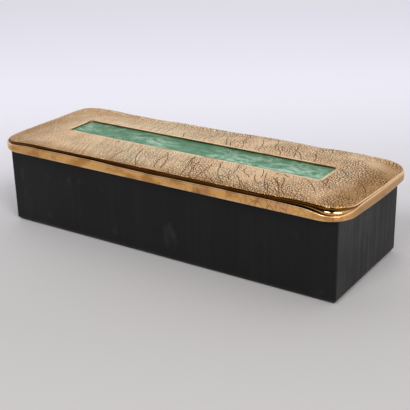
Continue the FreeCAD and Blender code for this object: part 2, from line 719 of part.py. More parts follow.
def tray_end(label, side):
    """A short end of the tray, between its long sides."""
    body = new_body(label)
    end = pad(body, draw(body, "plan", "XY", rectangle("-tray_wall / 2", "tray_wall / 2",
                                                        f"-{TRAY_INSIDE} / 2", f"{TRAY_INSIDE} / 2")),
              "tray_height")
    top = value("tray_height")
    upper = edges_where(end, lambda edge: level(edge, top) and edge.BoundBox.YLength > 1)
    soften(body, "Fillet", end, upper, Radius="tray_round")
    place(body, f"{side} * ({BOARD_LENGTH} - tray_wall) / 2", TRAY_LINE, FLOOR_TOP)
    return body


def brush_rest(label, x):
    """A block across the tray with one round notch for each brush."""
    body = new_body(label)
    block = rectangle(f"-{TRAY_INSIDE} / 2", f"{TRAY_INSIDE} / 2", "0", "rest_height")
    rest = pad(body, draw(body, "block", "YZ", block), "rest_thick", both=True)
    for name in ("large", "small"):
        notch = circle(body, f"{name}_notch", "YZ", f"{name}_line - {TRAY_LINE}", "brush_lie",
                       f"({name}_radius + brush_gap)")
        rest = pocket(body, notch, "rest_thick", both=True)
    place(body, x, TRAY_LINE, f"{FLOOR_TOP} + tray_floor_thick")
    return body


def brush_handle(name):
    """A bamboo handle with a rounded end and two joints of the cane, turned about its own length."""
    body = new_body(f"{name}_brush_handle")
    radius, length = f"{name}_radius", f"{name}_length"
    ridge_radius = "((node_length / 2) ^ 2 + node_proud ^ 2) / (2 * node_proud)"
    outline = [
        ("0", "0"),
        (length, "0"),
        (length, radius),
    ]
    for middle in ("second_node", "first_node"):
        outline.append((f"{middle} + node_length / 2", radius))
        outline.append((f"{middle} - node_length / 2", radius, ridge_radius, "left"))
    outline.append((f"{radius} / 2", radius))
    outline.append(("0", f"{radius} / 2", f"{radius} / 2", "left"))
    turn(body, "Revolution", draw(body, "outline", "XZ", outline), "X", +1)
    place(body, "brush_start", f"{name}_line", BRUSH_HEIGHT)
    return body


def brush_ferrule():
    """The horn collar between the large brush's handle and its tuft."""
    body = new_body("large_brush_ferrule")
    outer = "(large_radius + ferrule_proud)"
    outline = [
        ("0", "0"),
        ("ferrule_length", "0"),
        ("ferrule_length", "large_radius"),
        ("ferrule_length - ferrule_proud", outer, "ferrule_proud", "left"),
        ("ferrule_proud", outer),
        ("0", "large_radius", "ferrule_proud", "left"),
    ]
    turn(body, "Revolution", draw(body, "outline", "XZ", outline), "X", +1)
    place(body, "brush_start + large_length", "large_line", BRUSH_HEIGHT)
    return body


def brush_tuft(name, start):
    """A tuft that swells a little past its root and runs out to a point, along two arcs that meet level."""
    body = new_body(f"{name}_brush_tuft")
    root, length, belly = f"({name}_radius - tuft_step)", f"{name}_tuft", f"{name}_belly"
    widest = f"({root} + tuft_swell)"
    fall, run = f"({widest} - tuft_point)", f"({length} - {belly})"
    outline = [
        ("0", "0"),
        (length, "0"),
        (length, "tuft_point"),
        (belly, widest, f"({run} ^ 2 + {fall} ^ 2) / (2 * {fall})", "left"),
        ("0", root, f"({belly} ^ 2 + tuft_swell ^ 2) / (2 * tuft_swell)", "left"),
    ]
    turn(body, "Revolution", draw(body, "outline", "XZ", outline), "X", +1)
    place(body, start, f"{name}_line", BRUSH_HEIGHT)
    return body


def make_brushes():
    return [
        brush_handle("large"),
        brush_ferrule(),
        brush_tuft("large", "brush_start + large_length + ferrule_length"),
        brush_handle("small"),
        brush_tuft("small", "brush_start + small_length"),
    ]


def make_brush_tray():
    floor = slab("tray_floor", f"({BOARD_LENGTH} - 2 * tray_wall)", TRAY_INSIDE, "tray_floor_thick",
                 y=TRAY_LINE, z=FLOOR_TOP)
    return [
        floor,
        tray_side("tray_front_side", f"{TRAY_FRONT} + tray_wall / 2"),
        tray_side("tray_back_side", f"{TRAY_FRONT} + tray_width - tray_wall / 2"),
        tray_end("tray_left_end", "-1"),
        tray_end("tray_right_end", "1"),
        brush_rest("left_brush_rest", "brush_start + rest_start"),
        brush_rest("right_brush_rest", "brush_start + large_length - rest_reach"),
    ]


def write_parts(parts):
    """Checks every object and every sub-part, then writes one STEP file for each."""
    doc.recompute()
    for thing in doc.Objects:
        if "Invalid" in thing.State or "Error" in thing.State:
            raise RuntimeError(f"{thing.Label} did not recompute: {thing.State}")
    for part in parts:
        if part.Shape.isNull() or not part.Shape.isValid() or not part.Shape.Solids:
            raise RuntimeError(f"{part.Label} has no sound solid")
    os.makedirs("parts", exist_ok=True)
    for part in parts:
        part.Shape.exportStep(f"parts/{part.Label}.step")


write_parts(make_box() + make_lid() + make_ink_set() + make_brush_tray() + make_brushes())
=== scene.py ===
"""Long black wooden box with a crackled gilt lid, and the writing set inside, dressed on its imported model."""

import math

import bmesh
import bpy
import numpy as np
from bpy.props import FloatProperty, FloatVectorProperty, PointerProperty
from mathutils import Matrix, Vector


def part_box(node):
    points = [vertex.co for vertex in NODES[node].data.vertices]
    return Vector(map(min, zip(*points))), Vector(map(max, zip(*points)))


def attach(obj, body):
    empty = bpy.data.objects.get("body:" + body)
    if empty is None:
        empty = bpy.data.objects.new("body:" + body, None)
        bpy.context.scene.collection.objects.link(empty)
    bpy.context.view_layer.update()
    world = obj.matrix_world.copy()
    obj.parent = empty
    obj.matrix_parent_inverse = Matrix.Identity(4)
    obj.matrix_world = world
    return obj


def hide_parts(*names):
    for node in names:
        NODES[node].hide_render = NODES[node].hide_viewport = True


bl_info = {
    "name": "Long ink box",
    "version": (1, 0, 0),
    "blender": (4, 5, 0),
    "location": "View3D > Sidebar > Ink box",
    "description": "Models the gilt lid, the linings and the writing set of a long ink box, and its stage",
    "category": "Add Mesh",
}

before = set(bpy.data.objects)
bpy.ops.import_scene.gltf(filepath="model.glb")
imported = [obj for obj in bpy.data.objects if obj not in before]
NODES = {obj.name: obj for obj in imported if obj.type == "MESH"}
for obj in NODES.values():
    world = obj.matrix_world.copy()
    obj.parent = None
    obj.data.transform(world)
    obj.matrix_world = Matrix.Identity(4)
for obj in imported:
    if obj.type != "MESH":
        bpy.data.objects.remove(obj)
LID_LOW, LID_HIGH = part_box("lid_shell")
PANEL_LOW, PANEL_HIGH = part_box("panel_enamel")
LINER_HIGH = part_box("lid_liner_board")[1]


# ---------------- settings

def number(name, description, default, **kind):
    return FloatProperty(name=name, description=description, default=default, **kind)


def size(name, description, default):
    return number(name, description, default, min=0, unit="LENGTH", precision=5)


def colour(name, description, default):
    return FloatVectorProperty(name=name, description=description, default=default, size=3, min=0, max=1,
                               subtype="COLOR")


class LidSettings(bpy.types.PropertyGroup):
    """Sizes and colours of the gilt lid and its green panel."""
    corner: size("Corner", "corner rounding of the lid in plan", 0.020)
    lip_height: size("Lip height", "height of the lip's face", 0.0072)
    lip_roll: size("Lip roll", "rounding of the lip's rim", 0.0007)
    lip_foot: size("Lip foot", "rounding of the lip's lower edge", 0.0008)
    pocket_bevel: size("Pocket bevel", "bevel round the pocket under the lid", 0.0003)
    quirk: size("Quirk", "from the rim's inner side to the floor of the cove", 0.0001)
    cove_floor: size("Cove floor", "height of the cove's floor above the lid's underside", 0.0064)
    cove_squareness: number("Cove squareness", "2 is a quarter ellipse", 4.5)
    edge_inset: size("Edge inset", "crown's lower edge, in from the lip's face", 0.0037)
    edge_rise: size("Edge rise", "height of the crown's lower edge above the lid's underside", 0.0086)
    nose: size("Nose", "rounding of the crown's lower edge", 0.0003)
    shoulder_width: size("Shoulder width", "rounded shoulder next to the crown's edge", 0.0035)
    shoulder_drop: size("Shoulder drop", "how far that shoulder falls", 0.0007)
    crown_fullness: number("Crown fullness", "how long the crown stays level", 2.3)
    crown_swell: size("Crown swell", "unevenness of the crown", 0.0007)
    crack_depth: size("Crack depth", "depth of the wide cracks", 0.00022)
    border_width: size("Border width", "polished border round the panel", 0.0016)
    border_corner: size("Border corner", "corner rounding of that border's outer line", 0.0031)
    border_bevel: size("Border bevel", "bevel of the border's inner edge", 0.00035)
    gilt: colour("Gilt", "gilding of the lip", (0.93, 0.51, 0.165))
    rubbed_gilt: colour("Rubbed gilt", "rubbed places on lip and border", (0.42, 0.17, 0.035))
    ruddy_gilt: colour("Ruddy gilt", "coppery places on the lip", (0.78, 0.40, 0.24))
    # Besides the crown's own pale gilding, this colour paints highlight lines on the lip's rim and foot.
    pale_and_highlight_gilt: colour("Pale gilt", "gilding of the crackled crown", (1.0, 0.70, 0.42))
    # Besides random lighter places, this colour paints a band of light across the crown.
    fresh_and_lit_gilt: colour("Fresh gilt", "lighter places of the crown", (1.0, 0.79, 0.52))
    stained_gilt: colour("Stained gilt", "brown clouds on the crown", (0.70, 0.42, 0.19))
    # Painted shade: this colour darkens the crown towards its front edge and its ends, and the lip's face at
    # the ends.
    shaded_gilt: colour("Worn gilt", "darker gilding towards the edges", (0.58, 0.33, 0.13))
    patina: colour("Patina", "what has settled in the cracks", (0.10, 0.045, 0.015))
    # Painted shade: this colour darkens the cove and the line round the panel's bed.
    crevice_shade: colour("Soot", "what has settled in the cove", (0.16, 0.068, 0.014))
    green: colour("Green", "deep tone of the panel", (0.040, 0.175, 0.080))
    pale_green: colour("Pale green", "light tone of the panel", (0.34, 0.50, 0.38))
    clouded_green: colour("Clouded green", "clouds in the panel", (0.020, 0.15, 0.060))
    flecked_green: colour("Flecked green", "small flecks in the panel", (0.26, 0.38, 0.30))
    far_green: colour("Far green", "tone of the panel's far side", (0.034, 0.105, 0.040))
    near_green: colour("Near green", "tone of the panel's near edge", (0.060, 0.120, 0.070))


class BoxSettings(bpy.types.PropertyGroup):
    """Colours of the wooden box."""
    paint: colour("Paint", "black paint of the walls", (0.0040, 0.0040, 0.0042))
    dust: colour("Dust", "dust and rubbed places on the paint", (0.03, 0.03, 0.03))
    stain: colour("Stain", "black stain of the base board and the liner board", (0.014, 0.012, 0.011))
    bare_wood: colour("Bare wood", "wood that shows through the stain", (0.055, 0.040, 0.028))
    pores: colour("Pores", "open pores of the stained wood", (0.004, 0.004, 0.004))
    cloth: colour("Cloth", "thread of the linings", (0.105, 0.022, 0.024))
    cloth_shade: colour("Cloth shade", "between the threads of the linings", (0.045, 0.008, 0.010))
    brass: colour("Brass", "brass of the screws", (0.72, 0.50, 0.20))
    tarnish: colour("Tarnish", "brown tarnish of the screws", (0.20, 0.10, 0.03))
    copper: colour("Copper", "copper plate under the green layer", (0.72, 0.36, 0.22))
    firing_stain: colour("Firing stain", "dark stains on the copper plate", (0.16, 0.065, 0.045))


class SetSettings(bpy.types.PropertyGroup):
    """Colours of the writing set."""
    lacquer: colour("Lacquer", "black lacquer of board and tray", (0.007, 0.006, 0.006))
    worn_lacquer: colour("Worn lacquer", "where the lacquer has worn brown", (0.045, 0.020, 0.012))
    scratch: colour("Scratch", "fine scratches in the lacquer", (0.05, 0.045, 0.04))
    slate: colour("Slate", "ground faces of the inkstone", (0.045, 0.047, 0.054))
    pale_slate: colour("Pale slate", "veins and rubbed places of the inkstone", (0.10, 0.105, 0.11))
    slate_grain: colour("Slate grain", "pale grains of the inkstone", (0.16, 0.165, 0.17))
    dried_ink: colour("Dried ink", "ink dried on the stone", (0.008, 0.008, 0.010))
    dropper: colour("Dropper", "copper of the water dropper", (0.62, 0.30, 0.17))
    dropper_patina: colour("Dropper patina", "brown patina of the dropper", (0.13, 0.055, 0.030))
    ink: colour("Ink", "pressed ink", (0.010, 0.010, 0.012))
    ink_bloom: colour("Ink bloom", "greyer places of the pressed ink", (0.030, 0.030, 0.034))
    ground_ink: colour("Ground ink", "the end of the stick that is ground", (0.045, 0.045, 0.048))
    cane: colour("Cane", "scraped bamboo", (0.56, 0.36, 0.16))
    dark_cane: colour("Dark cane", "fibres and joints of the bamboo", (0.26, 0.13, 0.05))
    horn: colour("Horn", "dark horn of the ferrule", (0.018, 0.012, 0.009))
    pale_horn: colour("Pale horn", "streaks in the horn", (0.10, 0.055, 0.028))
    hair: colour("Hair", "hair of the brushes", (0.52, 0.36, 0.20))
    pale_hair: colour("Pale hair", "paler single hairs", (0.70, 0.55, 0.36))
    hair_tip: colour("Hair tip", "darker tips and shade between the hairs", (0.16, 0.085, 0.035))


class StageSettings(bpy.types.PropertyGroup):
    """Camera, floor and light."""
    azimuth: number("Azimuth", "turn of the camera round the box", math.radians(33.617), unit="ROTATION")
    elevation: number("Elevation", "height angle of the camera", math.radians(22.665), unit="ROTATION")
    roll: number("Roll", "tilt of the camera about its line of sight", math.radians(-1.285), unit="ROTATION")
    distance: size("Distance", "camera from the middle of the underside, along its line of sight", 0.78048)
    aside: size("Aside", "camera moved to its own right", 0.006404)
    above: size("Above", "camera moved to its own up", 0.023672)
    lens: number("Lens", "focal length of the camera", 83.61, subtype="DISTANCE_CAMERA")
    floor: colour("Floor", "pale floor in front of the box", (0.455, 0.44, 0.435))
    far_floor: colour("Far floor", "pale floor behind the box", (0.90, 0.88, 0.965))
    sky: colour("Sky", "soft light from above and behind", (0.98, 0.98, 1.0))
    room: colour("Room", "dark room in front of the box", (0.035, 0.035, 0.037))
    sky_strength: number("Sky strength", "strength of the soft light", 0.88)
    lamp_width: size("Lamp width", "width of each of the two lamps", 0.66)
    lamp_power: number("Lamp power", "power of each of the two lamps", 13, unit="POWER")


# ---------------- meshes

# Parts that a long and a short side of a ring are cut into, in two goes, and the steps round a corner.
LONG_CUTS, SHORT_CUTS, CORNER_STEPS = (20, 18), (8, 10), 20


def begin(name):
    """A new empty mesh object, in edit mode, with nothing else selected."""
    bpy.ops.object.select_all(action="DESELECT")
    piece = bpy.data.objects.new(name, bpy.data.meshes.new(name))
    bpy.context.collection.objects.link(piece)
    bpy.context.view_layer.objects.active = piece
    piece.select_set(True)
    bpy.ops.object.mode_set(mode="EDIT")
    return piece


def end(piece, angle=40):
    """Back to object mode, faces outwards, shaded smooth below an angle."""
    bpy.ops.mesh.select_all(action="SELECT")
    bpy.ops.mesh.normals_make_consistent(inside=False)
    bpy.ops.object.mode_set(mode="OBJECT")
    bpy.ops.object.shade_smooth_by_angle(angle=math.radians(angle))
    return piece


def select_edges(test):
    """Selects the edges of the mesh in edit mode whose two vertices pass a test."""
    bpy.ops.mesh.select_mode(type="EDGE")
    bpy.ops.mesh.select_all(action="DESELECT")
    mesh = bpy.context.edit_object.data
    shape = bmesh.from_edit_mesh(mesh)
    shape.verts.index_update()
    for edge in shape.edges:
        if test(*edge.verts):
            edge.select_set(True)
    shape.select_flush_mode()
    bmesh.update_edit_mesh(mesh)


def select_rings(*rings):
    """Selects the edges that run along any of these rings of vertices."""
    rings = [set(numbers) for numbers in rings]
    select_edges(lambda one, other: any(one.index in ring and other.index in ring for ring in rings))


def count_vertices():
    return len(bmesh.from_edit_mesh(bpy.context.edit_object.data).verts)


def ring(half_length, half_width, corner, height):
    """Adds a closed rounded outline without a face, and gives the range of its vertices."""
    first = count_vertices()
    middle = (0, 0, height)
    bpy.ops.mesh.select_mode(type="VERT")
    bpy.ops.mesh.select_all(action="DESELECT")
    bpy.ops.mesh.primitive_plane_add(size=2, location=middle)
    bpy.ops.transform.resize(value=(half_length, half_width, 1), center_override=middle)
    bpy.ops.mesh.bevel(affect="VERTICES", offset=corner, segments=CORNER_STEPS)
    bpy.ops.mesh.delete(type="ONLY_FACE")
    for axis, straight, cuts in ((0, half_length - corner, LONG_CUTS), (1, half_width - corner, SHORT_CUTS)):
        def is_side(one, other):
            level = abs(one.co[1 - axis] - other.co[1 - axis]) < 1e-7
            new = min(one.index, other.index) >= first
            return new and level and abs(one.co[axis] - other.co[axis]) > straight
        select_edges(is_side)
        for parts in cuts:
            bpy.ops.mesh.subdivide(number_cuts=parts - 1)
    return range(first, count_vertices())


def bridge(one, other, cuts=0):
    """Joins two rings with faces."""
    select_rings(one, other)
    bpy.ops.mesh.bridge_edge_loops(number_cuts=cuts, interpolation="LINEAR")


def carry_on(loop, factors, drop):
    """Extrudes a ring, scaled in plan about the middle and lowered, and gives the new ring's range."""
    first = count_vertices()
    select_rings(loop)
    bpy.ops.mesh.extrude_region_move(TRANSFORM_OT_translate={"value": (0, 0, -drop)})
    bpy.ops.transform.resize(value=(*factors, 1), center_override=(0, 0, 0))
    return range(first, count_vertices())


def cap(loop):
    """Closes a ring with one face."""
    select_rings(loop)
    bpy.ops.mesh.edge_face_add()


def apply_all(piece):
    """Applies the piece's modifiers in order."""
    bpy.ops.object.select_all(action="DESELECT")
    piece.select_set(True)
    bpy.context.view_layer.objects.active = piece
    for name in [modifier.name for modifier in piece.modifiers]:
        bpy.ops.object.modifier_apply(modifier=name)


def coordinates(piece):
    places = np.empty(len(piece.data.vertices) * 3)
    piece.data.vertices.foreach_get("co", places)
    return places.reshape(-1, 3)


def set_coordinates(piece, places):
    piece.data.vertices.foreach_set("co", places.ravel())
    piece.data.update()


def store(piece, name, values):
    """Writes one number per vertex under a name that materials and modifiers read."""
    attribute = piece.data.attributes.new(name, "FLOAT", "POINT")
    attribute.data.foreach_set("value", np.asarray(values, np.float32))


def smooth(values, low, high):
    """0 at low, 1 at high, with a soft start and end."""
    t = np.clip((values - low) / (high - low), 0, 1)
    return t * t * (3 - 2 * t)


# ---------------- node trees, written as sums

def put(tree, socket, value):
    """Links a Value to a socket, or sets a number, a vector or a colour there."""
    if isinstance(value, Value):
        tree.links.new(value.socket, socket)
    else:
        socket.default_value = (*value, 1) if socket.type == "RGBA" else value


def add(tree, kind, inputs=(), output=0, **settings):
    """Adds a node and gives one of its outputs; inputs maps a socket's name or number to what goes in."""
    node = tree.nodes.new(kind)
    for name, value in settings.items():
        setattr(node, name, value)
    for socket, value in dict(inputs).items():
        put(tree, node.inputs[socket], value)
    return Value(tree, node.outputs[output])


def calculation(operation):
    """A method of Value that adds one Math node."""
    return lambda self, other=0: self.add("ShaderNodeMath", {0: self, 1: other}, operation=operation)


class Value:
    """An output in a node tree. Each sum with it, and each of its methods, adds a node that works it out."""

    def __init__(self, tree, socket):
        self.tree, self.socket = tree, socket

    def add(self, kind, inputs=(), output=0, **settings):
        return add(self.tree, kind, inputs, output, **settings)

    def beside(self, output):
        """Another output of the same node."""
        return Value(self.tree, self.socket.node.outputs[output])

    __add__, __sub__, __mul__, __truediv__ = map(calculation, ("ADD", "SUBTRACT", "MULTIPLY", "DIVIDE"))
    least, most, sine, __abs__ = map(calculation, ("MINIMUM", "MAXIMUM", "SINE", "ABSOLUTE"))

    def __rsub__(self, other):
        return self.add("ShaderNodeMath", {0: other, 1: self}, operation="SUBTRACT")

    def span(self, low, high, start, stop):
        """A soft step from start to stop, as this goes from low to high."""
        limits = {"Value": self, "From Min": low, "From Max": high, "To Min": start, "To Max": stop}
        return self.add("ShaderNodeMapRange", limits, "Result", interpolation_type="SMOOTHSTEP")

    def rise(self, low, high, top=1):
        return self.span(low, high, 0, top)

    def fade(self, low, high, top=1):
        return self.span(low, high, top, 0)

    def between(self, first, second):
        """The number that is this share of the way from the first to the second."""
        return self.add("ShaderNodeMix", {0: self, 2: first, 3: second})

    def blend(self, first, second):
        """The colour that is this share of the way from the first to the second."""
        return self.add("ShaderNodeMix", {0: self, 6: first, 7: second}, 2, data_type="RGBA")

    def bump(self, distance, strength=1):
        """A normal that follows this height."""
        return self.add("ShaderNodeBump", {"Height": self, "Distance": distance, "Strength": strength})

    def vector(self, operation, other, output=0):
        return self.add("ShaderNodeVectorMath", {0: self, 1: other}, output, operation=operation)

    def split(self):
        """The three parts of a vector."""
        x = self.add("ShaderNodeSeparateXYZ", {0: self})
        return x, x.beside(1), x.beside(2)

    def stretch(self, *factors):
        return self.vector("MULTIPLY", factors)

    def noise(self, scale, detail=2, roughness=0.5, output="Fac"):
        inputs = {"Vector": self, "Scale": scale, "Detail": detail, "Roughness": roughness}
        return self.add("ShaderNodeTexNoise", inputs, output)

    def warp(self, scale, reach):
        """The place moved about by noise, by up to about half the reach."""
        centred = self.noise(scale, output="Color").vector("SUBTRACT", (0.5, 0.5, 0.5))
        return self.vector("ADD", centred.stretch(reach, reach, reach))

    def cells(self, scale, feature="DISTANCE_TO_EDGE", dimensions="2D"):
        """Distance in a pattern of cells, as a share of a cell."""
        return self.add("ShaderNodeTexVoronoi", {"Vector": self, "Scale": scale}, "Distance",
                        feature=feature, voronoi_dimensions=dimensions)

    def attribute(self, name):
        """What store wrote under this name."""
        return self.add("ShaderNodeAttribute", (), "Fac", attribute_name=name)


def new_material(name):
    """A material with an empty tree but for its output and shader, and the place on the piece."""
    material = bpy.data.materials.new(name)
    material.use_nodes = True
    tree = material.node_tree
    tree.nodes.clear()
    shader = add(tree, "ShaderNodeBsdfPrincipled")
    put(tree, tree.nodes.new("ShaderNodeOutputMaterial").inputs["Surface"], shader)
    return material, add(tree, "ShaderNodeTexCoord", output="Object")


def shade(material, base, roughness, normal=None, **others):
    """Sets or links the shader's inputs; in the names of others an underscore stands for a space."""
    tree = material.node_tree
    shader = next(node for node in tree.nodes if node.type == "BSDF_PRINCIPLED")
    for name, value in {"Base_Color": base, "Roughness": roughness, "Normal": normal, **others}.items():
        if value is not None:
            put(tree, shader.inputs[name.replace("_", " ")], value)
    return material


def wear(piece, material):
    piece.data.materials.clear()
    piece.data.materials.append(material)


def dress(names, material):
    """Gives CAD nodes their material."""
    for name in names:
        wear(NODES[name], material)


# ---------------- the crackled casting

# Steps of the section round the lip's foot, its rim and the cove, and the points of the crown's nose.
FOOT_STEPS, ROLL_STEPS, COVE_STEPS = 4, 8, 9
FACE_PARTS = (0.35, 0.7)
ROLL_TURN = math.radians(150)
NOSE_POINTS = ((-0.5, 0.3), (-0.3, 1), (0.4, 1.5))
COVE_START = FOOT_STEPS + 1 + len(FACE_PARTS) + ROLL_STEPS
CROWN_CUTS = 56
BED_GAP, BED_DEPTH, BED_CORNER = 0.00015, 0.0008, 0.0015
POCKET_GAP, POCKET_CORNER = 0.0002, 0.0022
LIP_TOP = 0.006
TINY = 1e-6

# Where the cove lies open near one corner: in from the end, in from the front, and how far it reaches.
OPEN_CORNER, OPEN_REACH = (0.009, 0.005), 0.0115
# Where the cove closes along the two ends: from nothing to fully, in from each end.
RIGHT_CLOSING, LEFT_CLOSING = (0.018, 0.006), (0.008, 0.003)

# How the hand-finished casting strays from an even one: bells as (middle, width, height) along a line,
# and waves as (length, height, phase).
EAST_BULGES = ((0.012, 0.028, 0.0019), (-0.046, 0.012, -0.0006))
WEST_BULGES = ((-0.040, 0.016, 0.0018), (0, 0.025, 0.0008))
BACK_SAGS = ((-0.135, 0.040, -0.0028), (-0.035, 0.050, -0.0024), (0.075, 0.035, 0.0009),
             (0.150, 0.020, -0.0022))
RIM_BELLS = ((-0.075, 0.03, 0.0003), (0.02, 0.02, -0.0003))
LIP_WAVES = ((0.149, 0.00042, 0.6), (0.083, 0.00030, 2.1), (0.037, 0.00016, 4))

# The main cracks of the crown: two ends and the bow between them, in millimetres.
MAIN_CRACKS = (
    ((12, -21), (23, -56), 1), ((20, -22), (28, -45), -1.5), ((32, -25), (34, -50), 2),
    ((37, -17), (49, -43), -1.5), ((49, -43), (57, -53), 0.8), ((50, -15), (53, -44), 3.5),
    ((59, -19), (63, -29), -1.2), ((63, -29), (70, -35), 0.8), ((67, -41), (81, -54), -1.2),
    ((72, -28), (83, -43), -1.8), ((70, -15), (78, -31), 1.5), ((77, -20), (91, -47), -1.4),
    ((86, -27), (103, -51), 2), ((88, -25), (97, -37), -1.6), ((92, -23), (98, -35), 0.8),
    ((85, -13), (95, -20), -1), ((105, -16), (123, -34), 1.2), ((112, -13), (130, -25), 1),
    ((-12, -20), (2, -50), 2), ((-34, -22), (-20, -52), -2.2), ((60, -36), (72, -51), 1.4),
    ((98, -36), (108, -50), -1.3), ((18, 18), (6, 44), 1.6), ((46, 19), (36, 46), -1.8),
    ((78, 20), (70, 48), 1.2),
)


def section(lid, rim, floor, edge_inset, edge_rise, squareness):
    """(inset, rise) pairs from the lip's foot over its rim and the cove to the crown's edge.

    Each argument after the first may be a number or an array with one value per vertex.
    """
    foot, roll = lid.lip_foot, lid.lip_roll
    points = []
    for angle in np.linspace(0, math.pi / 2, FOOT_STEPS + 1):
        points.append((foot * (1 - math.sin(angle)), foot * (1 - math.cos(angle))))
    points += [(0, rim * part) for part in FACE_PARTS]
    for angle in np.linspace(0, ROLL_TURN, ROLL_STEPS + 1):
        points.append((roll * (1 - math.cos(angle)), rim - roll * (1 - math.sin(angle))))
    start = 2 * roll + lid.quirk
    for angle in np.linspace(0, math.pi / 2, COVE_STEPS + 1):
        across, down = math.sin(angle) ** (2 / squareness), math.cos(angle) ** (2 / squareness)
        points.append((start + (edge_inset - start) * across, floor + (edge_rise - floor) * (1 - down)))
    points += [(edge_inset + across * lid.nose, edge_rise + up * lid.nose) for across, up in NOSE_POINTS]
    return points


def bell(distance, width):
    return np.exp(-0.5 * (distance / width) ** 2)


def bells(along, rows):
    return sum(height * bell(along - middle, width) for middle, width, height in rows)


def waves(along, rows):
    return sum(height * np.sin(along * math.tau / length + phase) for length, height, phase in rows)


class Casting:
    """The lid casting: its sizes, and how its hand-finished section varies round the outline."""

    def __init__(self, lid):
        self.lid = lid
        self.foot = LID_LOW.z
        self.half_length, self.half_width = LID_HIGH.x, LID_HIGH.y
        self.outline = (self.half_length, self.half_width, lid.corner)
        self.height = LID_HIGH.z - LID_LOW.z
        self.bed = (PANEL_HIGH.x + BED_GAP, PANEL_HIGH.y + BED_GAP)
        self.border = (*(half + lid.border_width for half in self.bed), lid.border_corner)
        self.plain = (lid.lip_height, lid.cove_floor, lid.edge_inset, lid.edge_rise, lid.cove_squareness)

    def corner(self, x, y):
        """1 at the corner where the cove lies open, 0 away from it."""
        in_from_end, in_from_front = OPEN_CORNER
        away = np.hypot(x - self.half_length + in_from_end, y + self.half_width - in_from_front)
        return bell(away, OPEN_REACH)

    def closed(self, x, y):
        """1 along the two ends, where the cove is closed, 0 away from them."""
        right, left = (smooth(way, *(self.half_length - inset for inset in closing))
                       for way, closing in ((x, RIGHT_CLOSING), (-x, LEFT_CLOSING)))
        return right * smooth(y, -0.052, -0.036) + left

    def local(self, x, y):
        """The section's sizes at a place in plan: the cove opens at one corner and closes at the ends."""
        lid = self.lid
        near, closed, low = self.corner(x, y), self.closed(x, y), np.minimum(self.sag(x, y), 0)
        before = bell(x - self.half_length + 0.034, 0.016) * smooth(-y, 0.03, 0.045)
        wave = waves(x + 0.6 * y, LIP_WAVES)
        rim = lid.lip_height + 0.6 * wave - 0.0028 * near + bells(x, RIM_BELLS) + 0.5 * low
        floor = lid.cove_floor + 0.6 * wave - 0.0021 * near + 0.0006 * closed + 0.5 * low
        edge_inset = (lid.edge_inset - wave + 0.0024 * before - 0.0004 * near - 0.0026 * closed
                      - 0.0010 * smooth(-x, 0.02, 0.12))
        edge_rise = (lid.edge_rise + 0.4 * wave - 0.0002 * near + 0.6 * low
                     - np.where(x > 0, 0.0010, 0.0014) * closed)
        squareness = lid.cove_squareness - (lid.cove_squareness - 2.1) * near
        return rim, floor, edge_inset, edge_rise, squareness

    def bulge(self, x, y):
        """How far the hand-finished ends stand out along x."""
        return (bells(y, EAST_BULGES) * smooth(x, 0.11, self.half_length)
                - bells(y, WEST_BULGES) * smooth(-x, 0.12, self.half_length))

    def sag(self, x, y):
        """How far the back and the west end of the crown stand above its even shape, or below it."""
        back = smooth(y, 0.014, 0.046)
        return bells(x, BACK_SAGS) * back - 0.0024 * smooth(-x, 0.120, 0.150) * (1 - back)


def casting_mesh(casting):
    """One closed mesh: pocket underneath, lip, cove, crown, border, bed; and its rows from lip to crown."""
    lid = casting.lid
    piece = begin("lid_casting")
    pocket = (LINER_HIGH.x + POCKET_GAP, LINER_HIGH.y + POCKET_GAP, POCKET_CORNER)
    under = [ring(*pocket, LINER_HIGH.z), ring(*pocket, casting.foot + lid.pocket_bevel)]
    cap(under[0])
    rows = [ring(*(half - inset for half in casting.outline), casting.foot + rise)
            for inset, rise in section(lid, *casting.plain)]
    loops = under + rows
    for one, other in zip(loops, loops[1:]):
        bridge(one, other)
    loop = ring(*casting.border, casting.foot + casting.height)
    bridge(rows[-1], loop, CROWN_CUTS)
    outsets = (lid.border_width, lid.border_bevel, 0, 0)
    halves = [[half + outset for half in casting.bed] for outset in outsets]
    bed_drop = LID_HIGH.z - lid.border_bevel - PANEL_LOW.z + BED_DEPTH
    for old, new, drop in zip(halves, halves[1:], (0, lid.border_bevel, bed_drop)):
        loop = carry_on(loop, (new[0] / old[0], new[1] / old[1]), drop)
    cap(loop)
    return end(piece), rows


def plan_distance(places, half_length, half_width, corner):
    """Signed distance in plan from a rounded rectangle, positive outside, and the way out from it."""
    x = np.abs(places[:, 0]) - (half_length - corner)
    y = np.abs(places[:, 1]) - (half_width - corner)
    out_x, out_y = np.maximum(x, 0), np.maximum(y, 0)
    reach = np.hypot(out_x, out_y)
    safe = np.maximum(reach, 1e-9)
    way = np.stack([out_x / safe * np.sign(places[:, 0]), out_y / safe * np.sign(places[:, 1])], 1)
    return reach + np.minimum(np.maximum(x, y), 0) - corner, way


